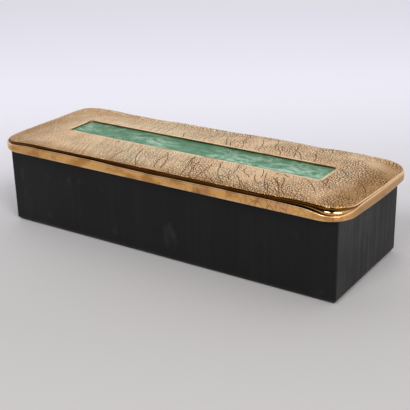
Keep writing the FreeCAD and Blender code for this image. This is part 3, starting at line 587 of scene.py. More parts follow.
class Surface:
    """The casting's vertices: where each lies on section or crown, and what the gilding reads there."""

    def __init__(self, piece, casting, rows):
        self.piece, self.casting = piece, casting
        self.rows = [np.array(row) for row in rows]
        self.places = coordinates(piece)
        self.height = self.places[:, 2] - casting.foot
        self.plain = section(casting.lid, *casting.plain)
        self.local = section(casting.lid, *casting.local(self.places[:, 0], self.places[:, 1]))
        self.edge_inset, edge_rise = self.plain[-1]
        distance, self.way = plan_distance(self.places, *casting.outline)
        self.from_edge = -distance - self.edge_inset
        self.from_border = plan_distance(self.places, *casting.border)[0]
        self.in_rows = np.zeros(len(self.places), bool)
        self.in_rows[np.concatenate(self.rows)] = True
        self.crown = (~self.in_rows & (self.height > edge_rise - TINY) & (self.from_edge > -TINY)
                      & (self.from_border > TINY))
        across = self.from_edge / np.maximum(self.from_edge + self.from_border, TINY)
        self.outwards = 1 - np.where(self.crown, across, 0)

    def shape_section(self):
        """Moves lip and cove from the plain section to the local one, and lets the ends stand out."""
        places = self.places
        for row, (inset, rise), new in zip(self.rows, self.plain, self.local):
            new_inset, new_rise = (np.broadcast_to(value, len(places))[row] for value in new)
            places[row, :2] += self.way[row] * (inset - new_inset)[:, None]
            places[row, 2] = self.casting.foot + new_rise
        bulge = self.casting.bulge(places[:, 0], places[:, 1])
        places[:, 0] += bulge * (self.in_rows | self.crown) * self.outwards

    def swell_crown(self):
        """Domes the crown from its local edge to the border, with a rounded shoulder, and lets it sag."""
        places, casting, lid = self.places, self.casting, self.casting.lid
        new_inset, edge_height = self.local[-1]
        shift = self.outwards ** 2 * (self.edge_inset - new_inset)
        places[self.crown, :2] += (self.way * shift[:, None])[self.crown]
        fall = (casting.height - edge_height - lid.shoulder_drop) * self.outwards ** lid.crown_fullness
        into_shoulder = np.clip(1 - self.from_edge / lid.shoulder_width, 0, 1)
        shoulder = lid.shoulder_drop * (1 - np.sqrt(1 - into_shoulder ** 2))
        sag = casting.sag(places[:, 0], places[:, 1]) * smooth(self.from_edge, 0, 0.007)
        places[self.crown, 2] = (LID_HIGH.z - fall - shoulder + sag)[self.crown]

    def mark_rows(self, crevice_shade, gloss, pale_and_highlight, worn_and_shaded):
        """Fills in the rows of the section, from the lip's foot to the crown's edge."""
        x, y = self.places[:, 0], self.places[:, 1]
        corner, closed = self.casting.corner(x, y), self.casting.closed(x, y)
        closed_right, left = closed * (x > 0), smooth(-x, 0.09, 0.14)
        rim = self.casting.lid.lip_height
        for step, row in enumerate(self.rows):
            rise = self.plain[step][1]
            # Painted highlights: paler lines on the lip's foot and rim, and on the rim along the right end.
            edges = max(0.6 - 0.6 * smooth(rise, 0.0006, 0.0016),
                        0.7 * smooth(rise, rim - 0.0012, rim - 0.0002) * (step < COVE_START + 2))
            pale_and_highlight[row] = np.maximum(edges, 0.5 * closed_right[row] * (step > FOOT_STEPS + 8))
            # Painted shade on the lip's face at both ends.
            worn_and_shaded[row] = np.maximum(closed[row], 0.4 * left[row]) * (step < FOOT_STEPS + 6)
            if step < COVE_START:
                continue
            # Painted shade fills the cove rows, with less of it in the middle rows at the open corner.
            middle = 1 - smooth(abs(step - COVE_START - 3.5), 2, 4.5)
            # Painted light: less painted shade on the two lowest cove rows towards the right, where they catch
            # the light.
            rubbed_and_lit = 0.60 * (step < COVE_START + 2) * smooth(x[row], -0.06, 0.04)
            crevice_shade[row] = (1 - 0.85 * middle * corner[row] - rubbed_and_lit) * (1 - 0.15 * closed[row])
            gloss[row] = 1
            # Painted highlight along the crown's edge at the right end, with no painted shade there.
            if step >= len(self.rows) - 2:
                crevice_shade[row] *= 1 - closed_right[row]
                pale_and_highlight[row] = np.maximum(pale_and_highlight[row], closed_right[row])
                gloss[row] = 1 - 0.4 * closed_right[row]

    def mark(self):
        """Stores painted shade (in the cove, round the bed, towards the crown's edges and ends), painted
        highlights on the lip's rim and foot, and where the casting is glossy, crackled, pale or polished.
        """
        x, y = self.places[:, 0], self.places[:, 1]
        crevice_shade, gloss, pale_and_highlight = np.zeros((3, len(x)))
        # Painted shade: darker towards the crown's front edge, more of it at the right end and towards the left
        # end.
        right = 0.16 * smooth(x, 0.06, 0.10)
        front = (0.70 - right) * (1 - smooth(self.from_edge, 0.002, 0.013)) * smooth(-y, -0.03, 0.02) + right
        worn_and_shaded = np.maximum(front, 1.15 * smooth(x, 0.122, 0.152) * (1 - 0.3 * smooth(y, 0, 0.05)))
        self.mark_rows(crevice_shade, gloss, pale_and_highlight, worn_and_shaded)
        worn_and_shaded += self.crown * 0.45 * smooth(-x, 0.115, 0.140) * (1 - worn_and_shaded)
        above_lip = ~self.in_rows & (self.height > LIP_TOP)
        bed = plan_distance(self.places, *self.casting.bed, BED_CORNER)[0]
        # Painted shade: a dark line round the panel's bed.
        crevice_shade[(np.abs(bed) < 0.0001) & above_lip] = 0.75
        pale_and_highlight[self.crown | (above_lip & (self.from_border <= TINY))] = 1
        lip_face = self.in_rows & (self.height < self.casting.lid.lip_height - 0.0008)
        crackled = smooth(self.from_edge, -0.0002, 0.0006) * smooth(self.from_border, 0, 0.0012)
        marks = {
            "crevice_shade": crevice_shade,
            "gloss": gloss,
            "worn_and_shaded": np.where(self.crown | lip_face, worn_and_shaded, 0),
            "crown": np.where(self.crown, crackled, 0),
            "pale_and_highlight": pale_and_highlight,
            "polish": np.where(self.crown, 1 - smooth(self.from_border, 0, 0.0010), 1),
        }
        set_coordinates(self.piece, self.places)
        for name, values in marks.items():
            store(self.piece, name, values)


def cross_cracks(place, along, length, wander, share, per_metre=100):
    """Distance in metres from cracks that run across one way and along another.

    Each crack is whole over its own stretch of its length; the share says how many there are.
    """
    way = along + (place.noise(60, 3) - 0.5) * wander
    lines = place.add("ShaderNodeTexVoronoi", {"W": way, "Scale": per_metre}, "Distance",
                      feature="F1", voronoi_dimensions="1D")
    own_stretch = place.add("ShaderNodeCombineXYZ", {0: lines.beside("Color").split()[0] * 3, 1: length})
    there = own_stretch.noise(30, 1) + (share - 0.5)
    return lines / per_metre + there.fade(0.44, 0.50, 0.01)


def main_crack(flat, wobble, start, stop, bow):
    """Distance in metres from one crack: an arc between two points of the plan, a little uneven."""
    start, stop, bow = Vector((*start, 0)) / 1000, Vector((*stop, 0)) / 1000, bow / 1000
    length = (stop - start).length
    along = (stop - start) / length
    radius = (length ** 2 / 4 + bow ** 2) / (2 * abs(bow))
    centre = (start + stop) / 2 + Vector((-along.y, along.x, 0)) * (bow - math.copysign(radius, bow))
    miss = abs(flat.vector("DISTANCE", centre, "Value") + wobble - radius)
    past_middle = abs(flat.vector("DOT_PRODUCT", along, "Value") - along.dot((start + stop) / 2))
    return miss + (past_middle - length / 2).most(0)


def wide_cracks(place, net_scale=230):
    """Distances in metres from the long cracks across the crown and from a finer net."""
    x, y, _ = place.split()
    presence = x.span(-0.09, 0, 0.34, 0.52) + x.span(0.100, 0.125, 0, -0.50)
    presence += y.span(-0.02, 0.02, -0.14, -0.06)
    across = cross_cracks(place, x + x.span(-0.05, 0.11, 0.28, 0.52) * y, y, 0.010, presence)
    flat = place.stretch(1, 1, 0)
    wobble = (place.noise(130, 3) - 0.5) * 0.0018
    for start, stop, bow in MAIN_CRACKS:
        across = across.least(main_crack(flat, wobble, start, stop, bow))
    return across, place.warp(30, 0.016).warp(150, 0.0030).cells(net_scale) / net_scale


def relief_tree(lid):
    """Geometry nodes that sink the cracks into the crown and give it its uneven swell."""
    tree = bpy.data.node_groups.new("crackle_relief", "GeometryNodeTree")
    for way in ("INPUT", "OUTPUT"):
        tree.interface.new_socket("Geometry", in_out=way, socket_type="NodeSocketGeometry")
    source = add(tree, "NodeGroupInput")
    place = add(tree, "GeometryNodeInputPosition")
    normal = add(tree, "GeometryNodeInputNormal")
    crown = add(tree, "GeometryNodeInputNamedAttribute", {"Name": "crown"}, data_type="FLOAT")
    across, net = wide_cracks(place)
    cracks = across.fade(0.00015, 0.00055).most(net.fade(0, 0.0008) * 0.5)
    swell = (place.noise(60) - 0.5) * lid.crown_swell
    move = (cracks * -lid.crack_depth + swell) * crown
    offset = add(tree, "ShaderNodeVectorMath", {0: normal, "Scale": move}, operation="SCALE")
    moved = add(tree, "GeometryNodeSetPosition", {"Geometry": source, "Offset": offset})
    put(tree, tree.nodes.new("NodeGroupOutput").inputs[0], moved)
    return tree


def gilt_material(lid):
    """Gilded bronze: pale and crackled on the crown, redder and smoother on the lip; painted shade in the cove,
    round the panel's bed and towards the crown's edges and ends; painted highlights on the lip's rim and foot,
    and a painted band of light across the crown.
    """
    material, place = new_material("gilt_bronze")
    names = ("polish", "pale_and_highlight", "crevice_shade", "worn_and_shaded", "crown", "gloss")
    polish, pale_and_highlight, crevice_shade, worn_and_shaded, crown, gloss = (place.attribute(name) for name in names)
    rough = 1 - polish
    x, y, z = place.split()
    density, cloudy, tone = place.noise(34, 3), place.noise(17, 3), place.noise(75, 4)
    coarse = x.span(-0.08, 0.04, 0.62, 1)

    # The gilding itself: pale crown, painted highlights on the lip's rim and foot, painted shade towards the
    # crown's front edge and the ends, stained places, fresh places and a painted band of light across the crown
    # left of the middle, then rubbed and ruddy ones on the polished parts.
    base = pale_and_highlight.blend(lid.gilt, lid.pale_and_highlight_gilt)
    base = worn_and_shaded.blend(base, lid.shaded_gilt)
    base = (cloudy.rise(0.46, 0.66, 0.30) * coarse).blend(base, lid.stained_gilt)
    # Painted light: a band across the crown left of the middle is lightened towards the fresh gilt.
    painted_light_band = x.rise(-0.115, -0.04, 0.55) - x.rise(-0.02, 0.03, 0.55)
    base = ((rough - worn_and_shaded) * (tone.rise(0.40, 0.64, 0.64) + painted_light_band)).blend(base, lid.fresh_and_lit_gilt)
    rubbed_and_lit = place.stretch(0.5, 0.5, 1).noise(130, 4).rise(0.46, 0.66, 0.60) * polish
    base = rubbed_and_lit.blend(base, lid.rubbed_gilt)
    ruddy = density.rise(0.48, 0.62, 0.5) * polish * x.span(0, 0.13, 0.2, 1)
    base = ruddy.blend(base, lid.ruddy_gilt)

    # The crown's cracks: long and short ones, a hatching at its left, and the seams of a fine stipple.
    across, net = wide_cracks(place)
    long_crack = across.fade(0.00018, 0.00044) * place.noise(90).span(0.32, 0.50, 0.85, 1)
    short_crack = net.fade(0.00005, 0.00045, 0.8) * place.noise(40).rise(0.42, 0.60)
    deep = long_crack.most(short_crack * x.span(-0.08, 0, 0.15, 0.8)) * (crown * 0.95)
    hatched = x.span(-0.12, -0.07, 0.38, 0.54) * x.span(-0.01, 0.04, 1, 0.72)
    hatch = cross_cracks(place, x + y * 0.3, y, 0.004, hatched, 330)
    hatch = hatch.fade(0.0001, 0.0004, 0.7) * crown
    pebbles = place.warp(45, 0.008).warp(260, 0.0016).stretch(1, 0.75, 1).cells(480)
    hair = place.warp(420, 0.0012).cells(950)
    seam = pebbles.fade(0.04, 0.22) * density.span(0.30, 0.52, 0.35, 1) * coarse
    hairline = hair.fade(0.05, 0.26) * x.span(-0.06, 0.02, 0.6, 0.45)
    near_panel = abs(y).span(0.018, 0.031, 0.68, 1).most(abs(x).span(0.112, 0.126, 0.68, 1.05))
    stipple = (seam * 0.95).most(hairline * 0.50) * near_panel * rough
    dark = stipple.most(hatch).most(deep)

    # The lip's cracks: upright ones and a coarse net, more of both to the right.
    side = cross_cracks(place, x + y * 1.3, z, 0.012, x.span(-0.10, 0.10, 0.30, 0.45))
    side_net = place.stretch(1, 1, 0.6).warp(120, 0.006).cells(170, dimensions="3D")
    side_net = side_net.fade(0, 0.06) * x.span(-0.04, 0.10, 0.15, 0.65)
    side_crack = side.fade(0.0001, 0.0004, 0.60).most(side_net * cloudy.rise(0.40, 0.58))
    side_crack *= polish
    side_crack *= 1 - gloss

    base = dark.most(side_crack).blend(base, lid.patina)
    # Painted shade in the cove and round the panel's bed.
    base = crevice_shade.blend(base, lid.crevice_shade)
    height = (pebbles.rise(0, 0.40) + hair.rise(0, 0.35) * 0.4) * rough - deep + tone * 0.25
    roughness = gloss.between(polish.between(0.40, 0.30), 0.11) + dark * 0.3
    return shade(material, base, roughness, height.bump(0.00040), Metallic=1)


class LidCasting(bpy.types.Operator):
    """Models the gilt casting with its lip, cove and crackled crown"""
    bl_idname = "inkbox.lid_casting"
    bl_label = "Lid casting"

    def execute(self, context):
        lid = context.scene.inkbox_lid
        casting = Casting(lid)
        piece, rows = casting_mesh(casting)
        surface = Surface(piece, casting, rows)
        surface.shape_section()
        surface.swell_crown()
        surface.mark()
        modifier = piece.modifiers.new("relief", "NODES")
        modifier.node_group = relief_tree(lid)
        apply_all(piece)
        wear(piece, gilt_material(lid))
        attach(piece, "lid")
        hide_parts("lid_shell")
        return {"FINISHED"}


# ---------------- the green panel

def green_material(lid):
    """Mottled green glaze, streaked along the panel, under a dull gloss."""
    material, place = new_material("green_enamel")
    streaks = place.stretch(0.55, 1, 1).warp(60, 0.02).noise(240, 6, 0.72)
    clouds = place.stretch(0.40, 1, 1).noise(48, 4)
    y = place.split()[1]
    base = streaks.rise(0.38, 0.62).blend(lid.green, lid.pale_green)
    base = clouds.rise(0.48, 0.60, 0.7).blend(base, lid.clouded_green)
    base = place.noise(800).rise(0.62, 0.75, 0.4).blend(base, lid.flecked_green)
    base = y.rise(-0.006, 0.012, 0.55).blend(base, lid.far_green)
    base = y.fade(-0.013, -0.008, 0.35).blend(base, lid.near_green)
    return shade(material, base, 0.34, streaks.bump(0.0004, 0.5), Specular_IOR_Level=0.12)


class GreenPanel(bpy.types.Operator):
    """Dresses the green panel"""
    bl_idname = "inkbox.green_panel"
    bl_label = "Green panel"

    def execute(self, context):
        dress(("panel_enamel",), green_material(context.scene.inkbox_lid))
        return {"FINISHED"}


# ---------------- the box

def paint_material(box):
    """Black painted wood: satin, with faint grain, dust and rubbed marks, more of them on the ends."""
    material, place = new_material("black_paint")
    grain = place.stretch(0.05, 0.05, 1).noise(900, 4)
    streaks = place.stretch(1, 1, 0.02).noise(240, 3)
    smudges = place.stretch(1, 1, 0.6).noise(55, 3)
    specks = place.cells(320, "F1", "3D")
    ends = abs(place.add("ShaderNodeNewGeometry", (), "Normal").split()[0])
    base = (streaks.rise(0.46, 0.66) * (ends * 0.6 + 0.07)).blend(box.paint, box.dust)
    base = smudges.rise(0.63, 0.76, 0.5).blend(base, box.dust)
    base = specks.fade(0.02, 0.07, 0.35).blend(base, box.dust)
    roughness = place.noise(22, 4).span(0.35, 0.70, 0.42, 0.55)
    return shade(material, base, roughness, (grain + streaks * 0.25).bump(0.00012, 0.6),
                 Specular_IOR_Level=0.26)


def stained_material(box):
    """Black stained wood: open grain along x, brown where the stain has rubbed off."""
    material, place = new_material("stained_wood")
    grain = place.stretch(0.05, 1, 1).warp(12, 0.02).noise(620, 6, 0.65)
    pores = place.stretch(0.02, 1, 1).noise(2600)
    rubbed_and_lit = place.noise(40, 4)
    base = (grain.rise(0.46, 0.66) * rubbed_and_lit.span(0.42, 0.66, 0.25, 1)).blend(box.stain, box.bare_wood)
    base = pores.rise(0.60, 0.72, 0.7).blend(base, box.pores)
    height = grain - pores.rise(0.60, 0.72) * 0.6
    return shade(material, base, rubbed_and_lit.span(0.3, 0.7, 0.58, 0.72), height.bump(0.00015, 0.7),
                 Specular_IOR_Level=0.3)


def turned_brass_material(box):
    """Brass screws: fine turning marks and brown tarnish."""
    material, place = new_material("turned_brass")
    marks = place.stretch(1, 1, 0.2).noise(3200)
    base = place.noise(420, 4).rise(0.45, 0.70, 0.8).blend(box.brass, box.tarnish)
    return shade(material, base, marks.span(0.3, 0.7, 0.28, 0.45), marks.bump(0.00004, 0.5), Metallic=1)


def sheet_copper_material(box):
    """Copper sheet: rolling streaks and a firing stain."""
    material, place = new_material("sheet_copper")
    streaks = place.stretch(0.04, 1, 1).noise(1500, 3)
    base = place.noise(60, 5).rise(0.42, 0.66).blend(box.copper, box.firing_stain)
    return shade(material, base, streaks.span(0.3, 0.7, 0.32, 0.5), streaks.bump(0.00004, 0.4),
                 Metallic=1)


class WoodenBox(bpy.types.Operator):
    """Dresses the four walls, the base board, and the board, screws and plate inside the lid"""
    bl_idname = "inkbox.wooden_box"
    bl_label = "Wooden box"

    def execute(self, context):
        box = context.scene.inkbox_box
        dress(("front_wall", "right_wall", "back_wall", "left_wall"), paint_material(box))
        dress(("base_board", "lid_liner_board"), stained_material(box))
        dress(("liner_screws",), turned_brass_material(box))
        dress(("panel_plate",), sheet_copper_material(box))
        return {"FINISHED"}


# ---------------- the cloth linings

CLOTH_CELLS = (170, 52)
CLOTH_WAVE = CLOTH_FRAY = 0.00012
CLOTH_EDGE = 0.00022
CLOTH_SPARE = 0.00015


def cloth(name, node, up):
    """A laid cloth with soft edges and a slightly uneven face, in the node's place; up is 1 or -1."""
    low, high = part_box(node)
    half = (high - low) / 2
    middle = (0, 0, high.z if up > 0 else low.z)
    piece = begin(name)
    bpy.ops.mesh.primitive_grid_add(x_subdivisions=CLOTH_CELLS[0], y_subdivisions=CLOTH_CELLS[1], size=2,
                                    location=middle)
    bpy.ops.transform.resize(value=(half.x, half.y, 1), center_override=middle)
    end(piece)
    places = coordinates(piece)
    x, y = places[:, 0].copy(), places[:, 1].copy()
    ruck = np.sin(x * 140 + 3 * np.sin(y * 90)) * np.sin(y * 170 + 1) + 0.5 * np.sin(x * 410 + y * 260)
    places[:, 2] -= up * CLOTH_WAVE * np.clip(ruck / 3 + 0.5, 0, 1)
    frayed = CLOTH_FRAY * (1 + np.sin(x * 900) * np.sin(y * 700))
    places[:, 0] -= np.sign(x) * frayed * (np.abs(x) > half.x - TINY)
    places[:, 1] -= np.sign(y) * frayed * (np.abs(y) > half.y - TINY)
    set_coordinates(piece, places)
    thick = piece.modifiers.new("thickness", "SOLIDIFY")
    thick.thickness = 2 * half.z - CLOTH_SPARE
    thick.offset = -up
    soft = piece.modifiers.new("soft edges", "BEVEL")
    soft.width = CLOTH_EDGE
    soft.segments = 2
    apply_all(piece)
    bpy.ops.object.mode_set(mode="EDIT")
    return end(piece, 50)


def cloth_material(box):
    """Plain woven cloth with a short nap."""
    material, place = new_material("lining_cloth")
    x, y, _ = place.warp(60, 0.0012).split()
    threads = (x * 9000).sine() * (y * 9000).sine()
    nap = place.noise(1500, 4, 0.7)
    base = threads.rise(-1, 1).blend(box.cloth_shade, box.cloth)
    base = nap.rise(0.40, 0.65, 0.5).blend(base, box.cloth)
    base = place.noise(45, 4).rise(0.40, 0.65, 0.45).blend(base, box.cloth_shade)
    return shade(material, base, 0.92, (threads * 0.5 + nap).bump(0.00025, 0.7), Sheen_Weight=0.30,
                 Sheen_Roughness=0.45, Specular_IOR_Level=0.2)


class Linings(bpy.types.Operator):
    """Lays the cloth in the box and stretches the cloth under the lid's liner board"""
    bl_idname = "inkbox.linings"
    bl_label = "Linings"

    def execute(self, context):
        material = cloth_material(context.scene.inkbox_box)
        pieces = (("floor_cloth", "floor_lining", 1, "box", "laid", "base_board", "floor_cloth"),
                  ("lid_cloth", "lid_lining", -1, "lid", "stretched", "lid_liner_board", "lid_cloth"))
        for name, node, up, body, held, under, slot in pieces:
            piece = cloth(name, node, up)
            wear(piece, material)
            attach(piece, body)
            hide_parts(node)
        return {"FINISHED"}


# ---------------- the writing set

HAIRS, LOCKS, HAIR_STATIONS, BLUNT_END = 150, 8.5, 44, 0.985
FINEST_TIP = 0.00005


def turned_profile(node):
    """Middle line (y, z), stations along x and the radius at each, of a node turned about a line along x."""
    low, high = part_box(node)
    middle = ((low.y + high.y) / 2, (low.z + high.z) / 2)
    places = coordinates(NODES[node])
    radii = np.hypot(places[:, 1] - middle[0], places[:, 2] - middle[1])
    along = np.round(places[:, 0], 5)
    stations = np.unique(along)
    most = np.array([radii[along == station].max() for station in stations])
    steps = np.append(low.x + (high.x - low.x) * np.linspace(0, BLUNT_END, HAIR_STATIONS), high.x)
    return middle, steps, np.maximum(np.interp(steps, stations, most), FINEST_TIP)


def tuft(name, node):
    """A bundle of hair: a turned form, fluted into strands that part and wander towards the point."""
    (y, z), stations, radii = turned_profile(node)
    around = HAIRS * 4
    piece = begin(name)
    bpy.ops.mesh.primitive_circle_add(vertices=around, radius=radii[0], location=(stations[0], y, z),
                                      rotation=(0, math.pi / 2, 0))
    for here, there, old, new in zip(stations, stations[1:], radii, radii[1:]):
        bpy.ops.mesh.extrude_region_move(TRANSFORM_OT_translate={"value": (there - here, 0, 0)})
        bpy.ops.transform.resize(value=(1, new / old, new / old), center_override=(there, y, z))
    bpy.ops.mesh.edge_face_add()
    cap(range(around))
    end(piece, 60)
    places = coordinates(piece)
    angle = np.arctan2(places[:, 2] - z, places[:, 1] - y)
    way = (places[:, 0] - stations[0]) / (stations[-1] - stations[0])
    drift = 0.10 * way * np.sin(3 * angle + 1) + 0.05 * way * np.sin(7 * angle + 9 * way)
    strand = np.abs(np.sin((angle + drift) * HAIRS / 2))
    lock = np.abs(np.sin((angle + 2 * drift) * LOCKS + 0.7))
    depth = 0.035 * (1 - strand) + (0.02 + 0.10 * way ** 2) * (1 - lock)
    shrink = 1 - depth * smooth(way, 0, 0.08)
    places[:, 1] = y + (places[:, 1] - y) * shrink
    places[:, 2] = z + (places[:, 2] - z) * shrink
    set_coordinates(piece, places)
    store(piece, "between", 1 - strand * (0.5 + 0.5 * lock))
    store(piece, "way", way)
    return piece


def hair_material(group):
    """Fine animal hair, paler at the root and darker at the point and between the strands."""
    material, place = new_material("brush_hair")
    single = place.stretch(0.03, 1, 1).noise(5200, 3)
    base = single.rise(0.35, 0.65, 0.7).blend(group.hair, group.pale_hair)
    base = (place.attribute("between") * 0.75).blend(base, group.hair_tip)
    base = place.attribute("way").rise(0.70, 1, 0.85).blend(base, group.hair_tip)
    return shade(material, base, 0.55, single.bump(0.00008, 0.8), Sheen_Weight=0.2, Specular_IOR_Level=0.35)


def cane_material(group):
    """Scraped bamboo: long fibres, darker joints, a dull sheen where hands have polished it."""
    material, place = new_material("bamboo")
    fibres = place.stretch(0.012, 1, 1).noise(2200, 5, 0.6)
    spots = place.stretch(0.3, 1, 1).noise(260, 3)
    x = place.split()[0]
    joints = abs(x + 0.087).least(abs(x + 0.024))
    base = fibres.rise(0.35, 0.68, 0.55).blend(group.cane, group.dark_cane)
    base = spots.rise(0.60, 0.74, 0.6).blend(base, group.dark_cane)
    base = joints.fade(0.0003, 0.0022, 0.8).blend(base, group.dark_cane)
    return shade(material, base, spots.span(0.3, 0.7, 0.34, 0.48), fibres.bump(0.00010, 0.6))


def horn_material(group):
    """Polished dark horn with paler streaks."""
    material, place = new_material("horn")
    streaks = place.stretch(0.12, 1, 1).noise(900, 4)
    base = streaks.rise(0.46, 0.70).blend(group.horn, group.pale_horn)
    return shade(material, base, streaks.span(0.3, 0.7, 0.20, 0.32), streaks.bump(0.00005, 0.4))


class Brushes(bpy.types.Operator):
    """Models the two tufts of hair and dresses handles and ferrule"""
    bl_idname = "inkbox.brushes"
    bl_label = "Brushes"

    def execute(self, context):
        group = context.scene.inkbox_set
        hair = hair_material(group)
        for brush in ("large_brush", "small_brush"):
            piece = tuft(brush + "_hair", brush + "_tuft")
            wear(piece, hair)
            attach(piece, brush)
            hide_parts(brush + "_tuft")
        dress(("large_brush_handle", "small_brush_handle"), cane_material(group))
        dress(("large_brush_ferrule",), horn_material(group))
        return {"FINISHED"}


def lacquer_material(group):
    """Black lacquer: deep gloss, faint brush waves, fine scratches, brown where it has worn."""
    material, place = new_material("black_lacquer")
    worn_and_shaded = place.noise(70, 5, 0.65)
    scratches = place.warp(20, 0.01).stretch(0.06, 1, 1).noise(1400)
    waves = place.stretch(0.25, 1, 1).noise(130)
    base = worn_and_shaded.rise(0.58, 0.74, 0.8).blend(group.lacquer, group.worn_lacquer)
    base = scratches.rise(0.66, 0.76, 0.5).blend(base, group.scratch)
    roughness = worn_and_shaded.span(0.45, 0.75, 0.16, 0.34) + scratches.rise(0.62, 0.74, 0.2)
    return shade(material, base, roughness, (waves + scratches * -0.15).bump(0.00015, 0.5), Coat_Weight=0.4,
                 Coat_Roughness=0.12)


class BoardAndTray(bpy.types.Operator):
    """Dresses the lacquered ink board and the brush tray"""
    bl_idname = "inkbox.board_and_tray"
    bl_label = "Ink board and brush tray"

    def execute(self, context):
        names = ("ink_board", "tray_floor", "tray_front_side", "tray_back_side", "tray_left_end",
                 "tray_right_end", "left_brush_rest", "right_brush_rest")
        dress(names, lacquer_material(context.scene.inkbox_set))
        return {"FINISHED"}


def slate_material(group):
    """Ground slate: grey, faintly banded and speckled, black and dull where ink has dried."""
    material, place = new_material("slate")
    bands = place.stretch(0.35, 1, 2).warp(25, 0.02).noise(110, 5, 0.6)
    grains = place.noise(2200, 3, 0.7)
    rings = place.noise(60, 4, 0.6)
    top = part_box("inkstone")[1].z
    sunk = (place.split()[2] + (rings - 0.5) * 0.0012).fade(top - 0.0022, top - 0.0006)
    inked = sunk * rings.span(0.30, 0.62, 0.95, 0.35)
    base = bands.rise(0.45, 0.70, 0.7).blend(group.slate, group.pale_slate)
    base = grains.rise(0.60, 0.75, 0.5).blend(base, group.slate_grain)
    base = inked.blend(base, group.dried_ink)
    return shade(material, base, inked.between(0.62, 0.38), (grains + bands * 0.5).bump(0.00008, 0.7))


class Inkstone(bpy.types.Operator):
    """Dresses the inkstone"""
    bl_idname = "inkbox.inkstone"
    bl_label = "Inkstone"

    def execute(self, context):
        dress(("inkstone",), slate_material(context.scene.inkbox_set))
        return {"FINISHED"}


def hammered_copper_material(group):
    """Hammered copper with brown patina left in the hollows."""
    material, place = new_material("dropper_copper")
    facets = place.cells(330, "F1", "3D")
    spots = place.noise(120, 5, 0.65)
    base = spots.span(0.42, 0.68, 0.05, 0.85).blend(group.dropper, group.dropper_patina)
    base = facets.rise(0.45, 0.85, 0.45).blend(base, group.dropper_patina)
    return shade(material, base, spots.span(0.35, 0.70, 0.26, 0.50),
                 (facets.rise(0, 0.8) * -1).bump(0.00018, 0.5), Metallic=1)


class WaterDropper(bpy.types.Operator):
    """Dresses the water dropper"""
    bl_idname = "inkbox.water_dropper"
    bl_label = "Water dropper"

    def execute(self, context):
        dress(("dropper_shell", "dropper_base", "dropper_spout"),
              hammered_copper_material(context.scene.inkbox_set))
        return {"FINISHED"}


def pressed_ink_material(group):
    """Pressed ink: dull black with a soft sheen, fine drying cracks, one end ground and paler."""
    material, place = new_material("pressed_ink")
    near_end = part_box("ink_stick")[0].y
    ground = place.split()[1].fade(near_end, near_end + 0.006, 0.7)
    cracks = place.warp(200, 0.004).cells(260, dimensions="3D").rise(0, 0.03)
    bloom = place.noise(150, 5)
    base = bloom.rise(0.45, 0.70, 0.6).blend(group.ink, group.ink_bloom)
    base = ground.blend(base, group.ground_ink)
    roughness = bloom.span(0.40, 0.70, 0.36, 0.55) + ground * 0.3
    return shade(material, base, roughness, cracks.bump(0.00010, 0.5))


class InkStick(bpy.types.Operator):
    """Dresses the ink stick"""
    bl_idname = "inkbox.ink_stick"
    bl_label = "Ink stick"

    def execute(self, context):
        dress(("ink_stick",), pressed_ink_material(context.scene.inkbox_set))
        return {"FINISHED"}


# ---------------- the stage

# Ways in the room, and where the two lamps stand and what they light.
TO_THE_BACK = (-0.554, 0.833, 0)
TO_THE_FRONT = (-0.20, -0.93, 0.30)
LAMPS = {"front_light": (0.13, -1.20, 1.25), "right_light": (1.10, -0.75, 1.35)}
LIT_POINT = Vector((0, 0, 0.03))
FLOOR_SIZE = 16


def floor_material(stage):
    """A pale matt floor with painted light: lighter to the back, darker in front."""
    material, place = new_material("floor")
    # Painted light: the floor's colour runs from darker in front to lighter behind.
    back = place.vector("DOT_PRODUCT", TO_THE_BACK, "Value").rise(-0.15, 0.50)
    return shade(material, back.blend(stage.floor, stage.far_floor), 0.75)


def studio_world(stage):
    """Soft light from above and behind, with a darker room in front."""
    world = bpy.data.worlds.new("studio")
    world.use_nodes = True
    tree = world.node_tree
    tree.nodes.clear()
    facing = add(tree, "ShaderNodeTexCoord", output="Generated").vector("DOT_PRODUCT", TO_THE_FRONT, "Value")
    tint = facing.rise(0.25, 0.80).blend(stage.sky, stage.room)
    background = add(tree, "ShaderNodeBackground", {"Color": tint, "Strength": stage.sky_strength})
    put(tree, tree.nodes.new("ShaderNodeOutputWorld").inputs[0], background)
    bpy.context.scene.world = world


def add_lamp(stage, name, place):
    data = bpy.data.lights.new(name, "AREA")
    data.shape = "DISK"
    data.size = stage.lamp_width
    data.energy = stage.lamp_power
    light = bpy.data.objects.new(name, data)
    light.location = place
    light.rotation_euler = (LIT_POINT - Vector(place)).to_track_quat("-Z", "Y").to_euler()
    bpy.context.collection.objects.link(light)


def add_camera(stage):
    """The camera looks along minus back, stepped aside and up in its own plane."""
    azimuth, elevation = stage.azimuth, stage.elevation
    back = Vector((math.sin(azimuth) * math.cos(elevation), -math.cos(azimuth) * math.cos(elevation),
                   math.sin(elevation)))
    right = Vector((math.cos(azimuth), math.sin(azimuth), 0))
    up = back.cross(right)
    cosine, sine = math.cos(stage.roll), math.sin(stage.roll)
    right, up = cosine * right + sine * up, cosine * up - sine * right
    data = bpy.data.cameras.new("camera")
    data.lens = stage.lens
    data.clip_end = 50
    camera = bpy.data.objects.new("camera", data)
    place = back * stage.distance + right * stage.aside + up * stage.above
    camera.matrix_world = Matrix.Translation(place) @ Matrix((right, up, back)).transposed().to_4x4()
    bpy.context.collection.objects.link(camera)
    bpy.context.scene.camera = camera


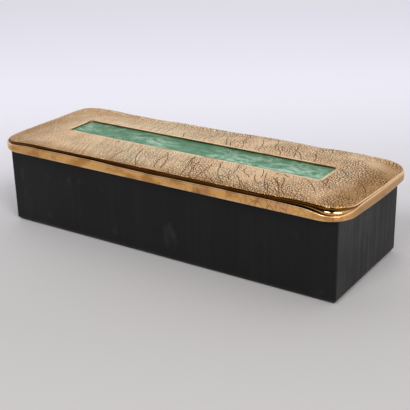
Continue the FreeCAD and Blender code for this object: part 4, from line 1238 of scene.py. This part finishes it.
class Stage(bpy.types.Operator):
    """Adds the floor, the light and the camera"""
    bl_idname = "inkbox.stage"
    bl_label = "Stage"

    def execute(self, context):
        stage = context.scene.inkbox_stage
        bpy.ops.object.select_all(action="DESELECT")
        bpy.ops.mesh.primitive_plane_add(size=FLOOR_SIZE)
        floor = context.object
        floor.name = "floor"
        wear(floor, floor_material(stage))
        studio_world(stage)
        for name, place in LAMPS.items():
            add_lamp(stage, name, place)
        add_camera(stage)
        context.scene.view_settings.view_transform = "Standard"
        return {"FINISHED"}


class InkBoxPanel(bpy.types.Panel):
    """Lists the steps that build the ink box"""
    bl_idname = "VIEW3D_PT_inkbox"
    bl_label = "Ink box"
    bl_space_type = "VIEW_3D"
    bl_region_type = "UI"
    bl_category = "Ink box"

    def draw(self, context):
        for operator in OPERATORS:
            self.layout.operator(operator.bl_idname)
        for group in SETTINGS:
            box = self.layout.box()
            settings = getattr(context.scene, group)
            for name in settings.__annotations__:
                box.prop(settings, name)


SETTINGS = {"inkbox_lid": LidSettings, "inkbox_box": BoxSettings, "inkbox_set": SetSettings,
            "inkbox_stage": StageSettings}
OPERATORS = (LidCasting, GreenPanel, WoodenBox, Linings, Brushes, BoardAndTray, Inkstone, WaterDropper,
             InkStick, Stage)
CLASSES = (*SETTINGS.values(), *OPERATORS, InkBoxPanel)


def register():
    for cls in CLASSES:
        bpy.utils.register_class(cls)
    for name, group in SETTINGS.items():
        setattr(bpy.types.Scene, name, PointerProperty(type=group))


def unregister():
    for name in SETTINGS:
        delattr(bpy.types.Scene, name)
    for cls in reversed(CLASSES):
        bpy.utils.unregister_class(cls)


def main():
    register()
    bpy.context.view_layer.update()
    bpy.ops.inkbox.lid_casting()
    bpy.ops.inkbox.green_panel()
    bpy.ops.inkbox.wooden_box()
    bpy.ops.inkbox.linings()
    bpy.ops.inkbox.brushes()
    bpy.ops.inkbox.board_and_tray()
    bpy.ops.inkbox.inkstone()
    bpy.ops.inkbox.water_dropper()
    bpy.ops.inkbox.ink_stick()
    bpy.ops.inkbox.stage()


if __name__ == "__main__":
    main()
